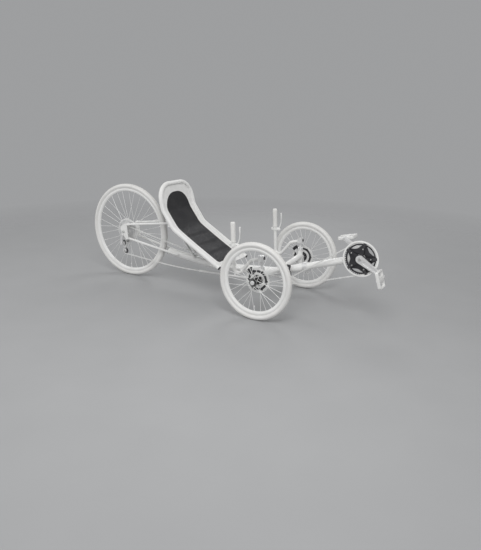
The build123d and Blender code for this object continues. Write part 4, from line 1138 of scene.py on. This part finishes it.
for side, name in bothSides:
    body, y, facing = name + "_steering", side * steering["kingpinY"], Vector((0, side, 0))
    barPath = rounded([at(x, y, z) for x, z in steering["barPoints"]], steering["barBends"], 12, False)
    shape = bmesh.new()
    tube(shape, barPath, steering["barRadius"], 24)
    addPiece(name + "_bent_bar", shape, framePaint, body, [name + "_handlebar"], 35)
    shape = bmesh.new()   # plug in the bar's front end
    turned(shape, plugOutline, barPath[0], (barPath[0] - barPath[1]).normalized(), 24)
    addPiece(name + "_bar_plug", shape, capPlastic, body)
    shape = bmesh.new()
    turned(shape, gripOutline, onBar(y, steering["gripFoot"]), leanAxis, 40)
    addPiece(name + "_ribbed_grip", shape, softGrip, body, [name + "_grip"], 40)

    foot = onBar(y, steering["leverFoot"])
    addPiece(name + "_shaped_lever", brakeLever(foot, y), framePaint, body, [name + "_brake_lever"])
    addScrew(body, foot + Vector((0.029, side * 0.0076, steering["leverUp"])), facing, 0.0040)
    addScrew(body, foot + Vector((-0.021, side * 0.0055, steering["leverUp"])), facing, 0.0030)

    reach, along = Vector((-1, 0, 1)).normalized(), Vector((1, 0, 1)).normalized()
    addPiece(name + "_two_part_caliper", brakeCaliper(side, reach), darkAlloy, body,
             [name + "_brake_caliper"], 30)
    face = at(caliper["at"][0], side * caliper["faceY"], caliper["at"][1])
    for aside in (-caliper["boltAside"], caliper["boltAside"]):
        addScrew(body, face + reach * caliper["boltOut"] + along * aside, facing, 0.0034)
        addScrew(body, face - reach * caliper["boltOut"] + along * aside, facing, 0.0026)
    for dx in (-10, 10):   # bar clamp bolts
        for dy in (-12, 12):
            addScrew(body, at(dx, y + dy, 386), (0, 0, 1), 0.0030)
    shape = bmesh.new()   # axle washer and headset collar
    washer = collar(0.0080, 0.0135, 0.0142, (0, 0.0006, 0.0016, 0.0022))
    turned(shape, washer, at(0, side * 413.2, 243), facing, 32)
    turned(shape, headsetCollar, at(0, y, 306.4), (0, 0, 1), 40)
    addPiece(name + "_axle_trim", shape, alloy, body)

    body, axle = name + "_wheel", at(0, side * rotor["y"], 243)   # rotor: a bright drilled ring
    low, high = rotor["bright"]
    loops = [circleLoop(high, 90), circleLoop(low, 60)]
    for i in range(rotor["holes"]):
        middle = polar(rotor["holeCircles"][i % 2], tau * i / rotor["holes"])
        loops.append(circleLoop(rotor["holeRadius"], 8, middle))
    shape = bmesh.new()
    plate(shape, loops, 0.0019, 0.0002, axle)
    tones = rgb(0.88, 0.88, 0.87), rgb(0.80, 0.80, 0.79)
    rotorSteel = turnedMetal(name + "RotorSteel", tones, 0.24, axle, 0.35)
    addPiece(name + "_drilled_rotor", shape, rotorSteel, body, [name + "_brake_rotor"], 30)
    shape = bmesh.new()   # a second bright ring nearer the hub
    plate(shape, [circleLoop(rotor["inner"][1], 60), circleLoop(rotor["inner"][0], 48)], 0.0034, 0.0007, axle)
    addPiece(name + "_rotor_ring", shape, rotorSteel, body, [], 30)
    shape = bmesh.new()   # dark carrier disc between the bright rings, with riveted lugs under the outer one
    lug = [(low + 0.0005, 0.0065, 0.002), (low + 0.0055, 0.0045, 0.003)]
    plate(shape, [armLoop(rotor["lugs"], 0, lug, low + 0.0008), circleLoop(0.0142, 32)], 0.0026, 0.0004, axle)
    addPiece(name + "_rotor_carrier", shape, darkAlloy, body, [], 30)
    for radius, depth, size in ((0.0662, 0.0011, 0.0021), (0.0192, 0.0010, 0.0026)):
        for i in range(rotor["lugs"]):
            addScrew(body, axle + around(radius, tau * i / rotor["lugs"], -side * depth), -facing, size)
print("steering built")

# Rear derailleur: a hanger knuckle, a sprung body and a cage of two windowed plates
derailleur = {"outerLinkY": -0.0832, "innerLinkY": -0.0760, "knuckleY": -0.0739, "springY": -0.0527,
              "cageY": (-0.0387, -0.0533), "pinY": -0.0380}
springBody = [(0, 0), (0.0088, 0), (0.0088, 0.0080), (0.0102, 0.0100), (0.0108, 0.0220), (0.0108, 0.0324),
              (0.0096, 0.0334), (0, 0.0334)]
shape = bmesh.new()
hanger = at(-1292, 0, 323)
toHanger = sideStep(upperPulley, hanger)
plate(shape, [hullLoop(toHanger, 0.0100, (0, 0), 0.0098)], 0.0050, 0.0014,
      beside(upperPulley, derailleur["outerLinkY"]))
plate(shape, [hullLoop(toHanger, 0.0070, (0, 0), 0.0070)], 0.0040, 0.0012,
      beside(upperPulley, derailleur["innerLinkY"]))
turned(shape, collar(0, 0.0105, 0.0118, (0, 0.0012, 0.0110, 0.0122)), beside(hanger, derailleur["knuckleY"]),
       (0, -1, 0), 32)
turned(shape, springBody, beside(upperPulley, derailleur["springY"]), (0, -1, 0), 32)
addPiece("derailleur_body", shape, alloy, "frame", [], 35)
shape = bmesh.new()
x, z = sideStep(upperPulley, lowerPulley)
for y in derailleur["cageY"]:
    plate(shape, [hullLoop((0, 0), 0.0098, (x, z), 0.0098),
                  hullLoop((x * 0.30, z * 0.30), 0.0052, (x * 0.72, z * 0.72), 0.0046)],
          0.0016, 0.0004, beside(upperPulley, y))
for place in (upperPulley, lowerPulley):
    turned(shape, rectangle(0, 0.0030, -0.0150, 0.0), beside(place, derailleur["pinY"]), count=16)
    addScrew("frame", beside(place, -0.0379), (0, 1, 0), 0.0030)
addScrew("frame", beside(lowerPulley, -0.0541), (0, -1, 0), 0.0038)
addScrew("frame", beside(hanger, -0.0858), (0, -1, 0), 0.0046)
addPiece("derailleur_cage", shape, alloy, "frame", ["rear_derailleur"], 35)
print("derailleur built")

# Seat: a bent rail, a sagging mesh between its sides, and a pale hem that is sleeved over the rail
seatSizes = {
    "railY": 185, "railRadius": 0.0140, "sleeveRadius": 0.0152, "sleeveEnd": 0.024, "halfWidth": 0.1706,
    "cornerRadius": 0.1007, "sag": 0.008, "lowerBar": 0.085, "upperBar": 0.585, "openHalf": 0.1350,
    "topBand": 0.046, "frontBand": 0.040, "archRadius": 0.118, "clothThick": 0.0009,
    "straps": (0.20, 0.33, 0.46, 0.70, 0.83), "strapHalf": 0.0125, "strapLifts": (-0.0028, -0.0042),
    "buckleAside": 0.42, "seams": (0.10, 0.19, 0.90),
}
profileCorners, profileBends = ((-372, 226), (-735, 446), (-822, 570), (-856.8, 723.7)), (0, 0.120, 0.110, 0)
seatProfile = rounded([at(x, 0, z) for x, z in profileCorners], profileBends, 14, False)
seatLength = lengthOf(seatProfile)


def onCloth(aside, along, lift):
    # a point of the cloth from its flat place: metres from the middle line and from the front edge
    share = along / seatLength
    point, heading = walk(seatProfile, share)
    front = Vector((heading.z, 0, -heading.x))
    low, high = seatSizes["lowerBar"], seatSizes["upperBar"]
    wave = 0
    if low < share < high:
        wave = sin(pi * (share - low) / (high - low))
    elif share > high:
        wave = sin(pi * (share - high) / (1 - high))
    sag = seatSizes["sag"] * (1 - (aside / seatSizes["halfWidth"]) ** 2) * max(wave, 0)
    return point + front * (lift - sag) + Vector((0, aside, 0))


def flatPlace(u, v):
    # the same flat place from shares: u from -1 to 1 across, v from 0 at the front to 1 at the top
    radius = seatSizes["cornerRadius"]
    corner = max(radius - (1 - v) * seatLength, 0)
    half = seatSizes["halfWidth"] - radius + sqrt(radius ** 2 - corner ** 2)
    return u * half, v * seatLength


def clothMesh(name, rows, lift, closed=False):
    # cloth over rows of flat places, which also become its UV map
    shape = bmesh.new()
    layer = shape.loops.layers.uv.new("UVMap")
    grid = [[shape.verts.new(onCloth(*place, lift)) for place in row] for row in rows]
    for i in range(len(rows) - 1):
        for j in range(len(rows[0]) - (0 if closed else 1)):
            k = (j + 1) % len(rows[0])
            corners = [(i, j), (i, k), (i + 1, k), (i + 1, j)]
            face = shape.faces.new([grid[row][spot] for row, spot in corners])
            for loop, (row, spot) in zip(face.loops, corners):
                loop[layer].uv = rows[row][spot]
    bmesh.ops.recalc_face_normals(shape, faces=shape.faces)
    bmesh.ops.solidify(shape, geom=list(shape.faces), thickness=seatSizes["clothThick"])
    return toMesh(name, shape, 1e-7)


def mapCloth(layer, faces, uvOf):
    # a UV map straight from the places of the corners
    for face in faces:
        for loop in face.loops:
            loop[layer].uv = uvOf(loop.vert.co)


def sleeveUv(place):
    return place.y + place.x * 0.3, place.z + place.x


def strapUv(place):
    return place.y, place.z - place.x


def hemLoop(halfWide, low, high, footRadius, topRadius, steps=12, between=36):
    # a rounded outline of flat places, always with the same number of points
    corners = [(halfWide, low), (halfWide, high), (-halfWide, high), (-halfWide, low)]
    arcs = rounded(corners, [footRadius, topRadius, topRadius, footRadius], steps)
    loop = []
    for i, point in enumerate(arcs):
        loop.append(point)
        if i % (steps + 1) == steps:
            loop += [point.lerp(arcs[(i + 1) % len(arcs)], k / between) for k in range(1, between)]
    return loop


shape = bmesh.new()
railY = seatSizes["railY"]
railSide = (*profileCorners[:3], (-860, 738))
railCorners = [at(x, -railY, z) for x, z in railSide] + [at(x, railY, z) for x, z in reversed(railSide)]
railPath = rounded(railCorners, [0, 0.120, 0.110, 0.115, 0.115, 0.110, 0.120, 0], 14, False, 0.8)
tube(shape, railPath, seatSizes["railRadius"], 28)
addPiece("bent_seat_rail", shape, framePaint, "frame", ["seat_rails"], 35)

panelRows = [[flatPlace(-1 + 2 * k / 28, row / 72) for k in range(29)] for row in range(73)]
meshPanel = addPiece("seat_mesh_panel", clothMesh("seatPanel", panelRows, 0.0), meshFabric, "frame",
                     ["seat_sling"], 60)
innerEdge = hemLoop(seatSizes["openHalf"], seatSizes["frontBand"], seatLength - seatSizes["topBand"], 0.02,
                    seatSizes["archRadius"])
outerEdge = hemLoop(seatSizes["halfWidth"], 0.0, seatLength, 0.004, seatSizes["cornerRadius"])


def hemRow(share):
    return [tuple(inner.lerp(outer, share)) for inner, outer in zip(innerEdge, outerEdge)]


hem = clothMesh("seatHem", [hemRow(k / 5) for k in range(6)], 0.0013, True)
hemPiece = addPiece("seat_hem", hem, hemCloth, "frame", [], 60)

shape = bmesh.new()   # sleeve over the rail, open at its front ends
trim, steps = seatSizes["sleeveEnd"] / lengthOf(railPath), 260
sleevePath = [walk(railPath, trim + (1 - 2 * trim) * k / steps)[0] for k in range(steps + 1)]
sleeveRadii = [seatSizes["sleeveRadius"] + 0.00025 * sin(k * 0.9) + 0.0002 * sin(k * 0.37 + 1)
               for k in range(steps + 1)]
tube(shape, sleevePath, sleeveRadii, 28)
mapCloth(shape.loops.layers.uv.new("UVMap"), shape.faces, sleeveUv)
sleevePiece = addPiece("seat_sleeve", shape, hemCloth, "frame", [], 60)

shape, buckles = bmesh.new(), bmesh.new()
layer = shape.loops.layers.uv.new("UVMap")
frontLift, backLift = seatSizes["strapLifts"]
for v in seatSizes["straps"]:   # webbing behind the mesh, each with a ladder buckle
    low, high = [v + s * seatSizes["strapHalf"] / seatLength for s in (-1, 1)]
    section = (low, frontLift), (high, frontLift), (high, backLift), (low, backLift)
    rows = [[shape.verts.new(onCloth(*flatPlace(-1 + 2 * k / 24, share), lift)) for share, lift in section]
            for k in range(25)]
    mapCloth(layer, skin(shape, rows), strapUv)
    place, heading = onCloth(*flatPlace(seatSizes["buckleAside"], v), -0.0058), walk(seatProfile, v)[1]
    turn = Matrix(((0, 1, 0), heading, (heading.z, 0, -heading.x))).transposed().to_4x4()
    edge = rounded(rectangle(-0.014, 0.014, -0.0165, 0.0165), 0.003, 4)
    slots = [rectangle(x - 0.0032, x + 0.0032, -0.0130, 0.0130) for x in (-0.0068, 0.0068)]
    plate(buckles, [edge] + slots, 0.0028, 0.0006, place, turn)
straps = addPiece("seat_straps", shape, strapCloth, "frame", [], 50)
buckles = addPiece("seat_buckles", buckles, capPlastic, "frame", [], 35)

seams = []
for share in seatSizes["seams"]:
    seam = [onCloth(*place, 0.0016) for place in hemRow(share)]
    seams.append(seam + [seam[0]])
stitches = alongLines("stitches", seams, 0.0042, 0.0015, 0.00042, thread, 6)
stitches = addPiece("seat_stitches", stitches, thread, "frame")
print("seat built")

# Weld beads: where one tube's lines first meet the other's surface
weld = {"step": 0.0019, "long": 0.0021, "wide": 0.0026}
weldLines = []


def weldLoop(start, end, radius, other, otherAxis, otherRadius, count=48):
    heading, otherAxis = (end - start).normalized(), otherAxis.normalized()
    across = heading.cross(otherAxis).normalized()
    upright = heading.cross(across)
    flatHeading = heading - otherAxis * heading.dot(otherAxis)
    loop = []
    for k in range(count):
        foot = start + radius * (cos(tau * k / count) * across + sin(tau * k / count) * upright)
        gap = foot - other
        gap -= otherAxis * gap.dot(otherAxis)
        a, b, c = flatHeading.dot(flatHeading), flatHeading.dot(gap), gap.dot(gap) - otherRadius ** 2
        reach = (-b - sqrt(max(b * b - a * c, 0))) / a
        loop.append(foot + heading * min(reach, (end - start).length))
    weldLines.append(loop + [loop[0]])


boomSlope = 0.3058
rise, crosswise, upright = Vector((1, 0, boomSlope)), Vector((0, 1, 0)), Vector((0, 0, 1))
stayFoot, stayHead = at(-912, 0, 236), at(-494, 0, 180)
rearRun = stayFoot - stayHead
railRun = at(-735, 0, 446) - at(-372, 0, 226)
strutBar = at(-773, 0, 469)
for side in (-1, 1):
    boomEnd, kingpin = at(0, side * 150, 247.1), at(0, side * 296, 258)
    weldLoop(boomEnd, at(0, 0, 236), 0.0190, at(0, 0, 221.2), rise, 0.0256)
    weldLoop(boomEnd, kingpin, 0.0190, kingpin, upright, 0.0181)
    weldLoop(at(-758, side * 30, 330), at(-676, side * 16, 214), 0.0090, stayHead, rearRun, 0.0255)
    weldLoop(at(-762, side * 33.7, 366), at(-773, side * 44, 469), 0.0090, strutBar, crosswise, 0.0101)
    chainstay = at(-1252, side * 59.2, 302), at(-812, side * 33.7, 224)
    upperStay = at(-1264, side * 59.2, 403), at(-773, side * 68, 469)
    weldLoop(*upperStay, 0.0080, strutBar, crosswise, 0.0101)
    weldLoop(at(-430, side * 60, 243), at(-430, side * 185, 243), 0.0100,
             at(-400.5, side * 185, 243.3), railRun, 0.0142)
    barEnd = at(-773, side * 185, 469)
    where = min(range(len(railPath)), key=lambda i: (railPath[i] - barEnd).length)
    weldLoop(at(-773, side * 60, 469), barEnd, 0.0100,
             railPath[where], railPath[where + 1] - railPath[where - 1], 0.0142)
    for lift in (-6.0, 6.0):   # along the chainstays where they lie beside the main tube
        weldLines.append([at(x, side * 27.2, 236 + (x + 912) * (180 - 236) / 418 + lift)
                          for x in range(-902, -822, 4)])
    for foot, head in (chainstay, upperStay):   # across the stays' rear ends, on their outer side
        heading = (head - foot).normalized()
        loop = [foot + heading * 0.0135 + 0.0080 * (cos(tau * k / 24) * crosswise
                                                    + sin(tau * k / 24) * heading.cross(crosswise))
                for k in range(24)]
        weldLines.append([point for point in loop if (point.y - side * 0.0592) * side > 0.001] or loop)
weldLoop(at(500, 0, 374.1), bracket, 0.0221, bracket, crosswise, 0.0211)
addPiece("frame_welds", alongLines("welds", weldLines, weld["step"], weld["long"], weld["wide"], weldPaint),
         weldPaint, "frame", [], 60)

# Caps, cups and nuts that finish the tubes' ends
shape = bmesh.new()
for place, facing, radius in ((stayFoot, rearRun, 0.0254), (railPath[0], railPath[0] - railPath[1], 0.0140),
                              (railPath[-1], railPath[-1] - railPath[-2], 0.0140)):
    outline = [(0, -0.004), (radius * 0.86, -0.004), (radius, 0), (radius, 0.0022),
               (radius * 0.82, 0.0046), (radius * 0.45, 0.0062), (0, 0.0068)]
    turned(shape, outline, place, facing.normalized(), 40)
addPiece("tube_end_caps", shape, capPlastic, "frame")
shape = bmesh.new()   # cups at the head tubes and the bottom bracket
headCup = collar(0.0178, 0.0190, 0.0196, (0, 0.0010, 0.0056, 0.0066))
bracketCup = collar(0.0127, 0.0214, 0.0222, (-0.0040, -0.0030, 0.0030, 0.0040))
for side in (-1, 1):
    for low in (194.3, 299.0):
        turned(shape, headCup, at(0, side * 296, low), upright, 48)
for y in (-0.0346, 0.0346):
    turned(shape, bracketCup, beside(bracket, y), count=48)
addPiece("bearing_cups", shape, alloy, "frame")
shape = bmesh.new()   # lock nuts on the tie rod
for side in (-1, 1):
    for y, radius in ((279, 0.0082), (272, 0.0078)):
        turned(shape, rectangle(0.0050, radius, -0.0028, 0.0028), at(-75, side * y, 173), count=6)
    turned(shape, [(0, 0), (0.0062, 0), (0.0075, 0.0012), (0.0075, 0.0040), (0.0050, 0.0052), (0, 0.0052)],
           at(-75, side * 296, 166.2), (0, 0, -1), 6)
addPiece("tie_rod_nuts", shape, steel, "track_rod", [], 20)

drop = Vector((boomSlope, 0, -1)).normalized()
for ahead in (164, 178):   # boom clamp, seat bracket and idler; the mounts' own holes stay open
    addScrew("frame", at(ahead, -13, 212 + boomSlope * (ahead + 30)) + drop * 0.0365, (0, -1, 0), 0.0036)
addScrew("frame", at(-430, -14, 222), (0, -1, 0), 0.0036)
addScrew("frame", at(62, -53, 218), (0, -1, 0), 0.0058)
for body, spots in screwSpots.items():
    addPiece(body + "_screws", onSpots("screws", socketHead(), spots, steel), steel, body, [], 30)
print("welds, caps and screws placed")

# Studio: a pale floor that fades out far from the trike, and soft lights
studio = {
    "floorHalf": 9.0, "floorColour": rgb(0.385, 0.389, 0.395), "floorShade": rgb(0.37, 0.374, 0.38),
    "backColour": rgb(0.34, 0.344, 0.35), "fadeStart": 1.6, "fadeEnd": 4.6, "worldLight": 0.52,
}
# Columns: place, diameter, power
lights = {"keyLight": ((1.6, -2.6, 3.2), 2.2, 75), "fillLight": ((-2.8, -2.2, 2.0), 2.5, 22),
          "backLight": ((-1.0, 3.0, 2.6), 2.0, 30)}


def floorRecipe(place):
    patches = place.noise(3, 2).clamped(0.3, 0.8)
    return {"Base Color": patches.blendTo(studio["floorColour"], studio["floorShade"]), "Roughness": 0.75}


def fadeFloor(material):
    # away from the trike the floor turns clear, so that the backdrop shows and no horizon does
    tree = material.node_tree
    place = Wire(tree).node("ShaderNodeTexCoord", output=3)
    distance = place.node("ShaderNodeVectorMath", {"operation": "LENGTH"}, {0: place}, "Value")
    clear = place.node("ShaderNodeBsdfTransparent")
    shaded = Wire(tree, tree.nodes["Principled BSDF"].outputs[0])
    mixed = place.node("ShaderNodeMixShader", {}, {
        0: distance.clamped(studio["fadeStart"], studio["fadeEnd"]), 1: shaded, 2: clear})
    tree.links.new(mixed.socket, tree.nodes["Material Output"].inputs["Surface"])


floorMesh = bpy.data.meshes.new("studioFloor")
half = studio["floorHalf"]
floorMesh.from_pydata([(x, y, 0) for x, y in rectangle(-half, half, -half, half)], [], [(0, 1, 2, 3)])
floor = bpy.data.objects.new("studioFloor", floorMesh)
scene.collection.objects.link(floor)
floor.data.materials.append(newMaterial("studioFloor", floorRecipe))
fadeFloor(floor.data.materials[0])

world = bpy.data.worlds.new("studio")
scene.world = world
world.use_nodes = True
rays = Wire(world.node_tree).node("ShaderNodeLightPath")
seen = rays
for ray in ("Is Glossy Ray", "Is Transmission Ray"):
    seen = seen.maths("MAXIMUM", seen, Wire(world.node_tree, rays.socket.node.outputs[ray]))
lit = world.node_tree.nodes["Background"]
lit.inputs["Color"].default_value = rgb(1.0, 1.0, 1.0)
lit.inputs["Strength"].default_value = studio["worldLight"]
backdrop = rays.node("ShaderNodeBackground", {}, {"Color": studio["backColour"], "Strength": 1.0})
lit = Wire(world.node_tree, lit.outputs[0])
worldMix = seen.node("ShaderNodeMixShader", {}, {0: seen, 1: lit, 2: backdrop})
world.node_tree.links.new(worldMix.socket, world.node_tree.nodes["World Output"].inputs["Surface"])

for name, (place, size, power) in lights.items():
    lamp = bpy.data.lights.new(name, "AREA")
    lamp.shape, lamp.size, lamp.energy = "DISK", size, power
    holder = bpy.data.objects.new(name, lamp)
    scene.collection.objects.link(holder)
    holder.location = place
    holder.rotation_euler = (Vector((0, 0, 0.3)) - Vector(place)).to_track_quat("-Z", "Y").to_euler()

# Camera: ahead of the trike's right side, a little above it
view = {"place": (1.943, -3.219, 1.22), "target": (0.147, 0.0, 0.142), "lens": 36.4, "roll": radians(0.76)}
camera = bpy.data.cameras.new("photoCamera")
camera.lens, camera.sensor_width = view["lens"], 36.0
cameraHolder = bpy.data.objects.new("photoCamera", camera)
scene.collection.objects.link(cameraHolder)
sight = (Vector(view["target"]) - Vector(view["place"])).to_track_quat("-Z", "Y")
cameraHolder.location = view["place"]
cameraHolder.rotation_euler = (sight.to_matrix() @ Matrix.Rotation(view["roll"], 3, "Z")).to_euler()
scene.camera = cameraHolder
scene.view_settings.view_transform = "Standard"
print("studio and camera placed")
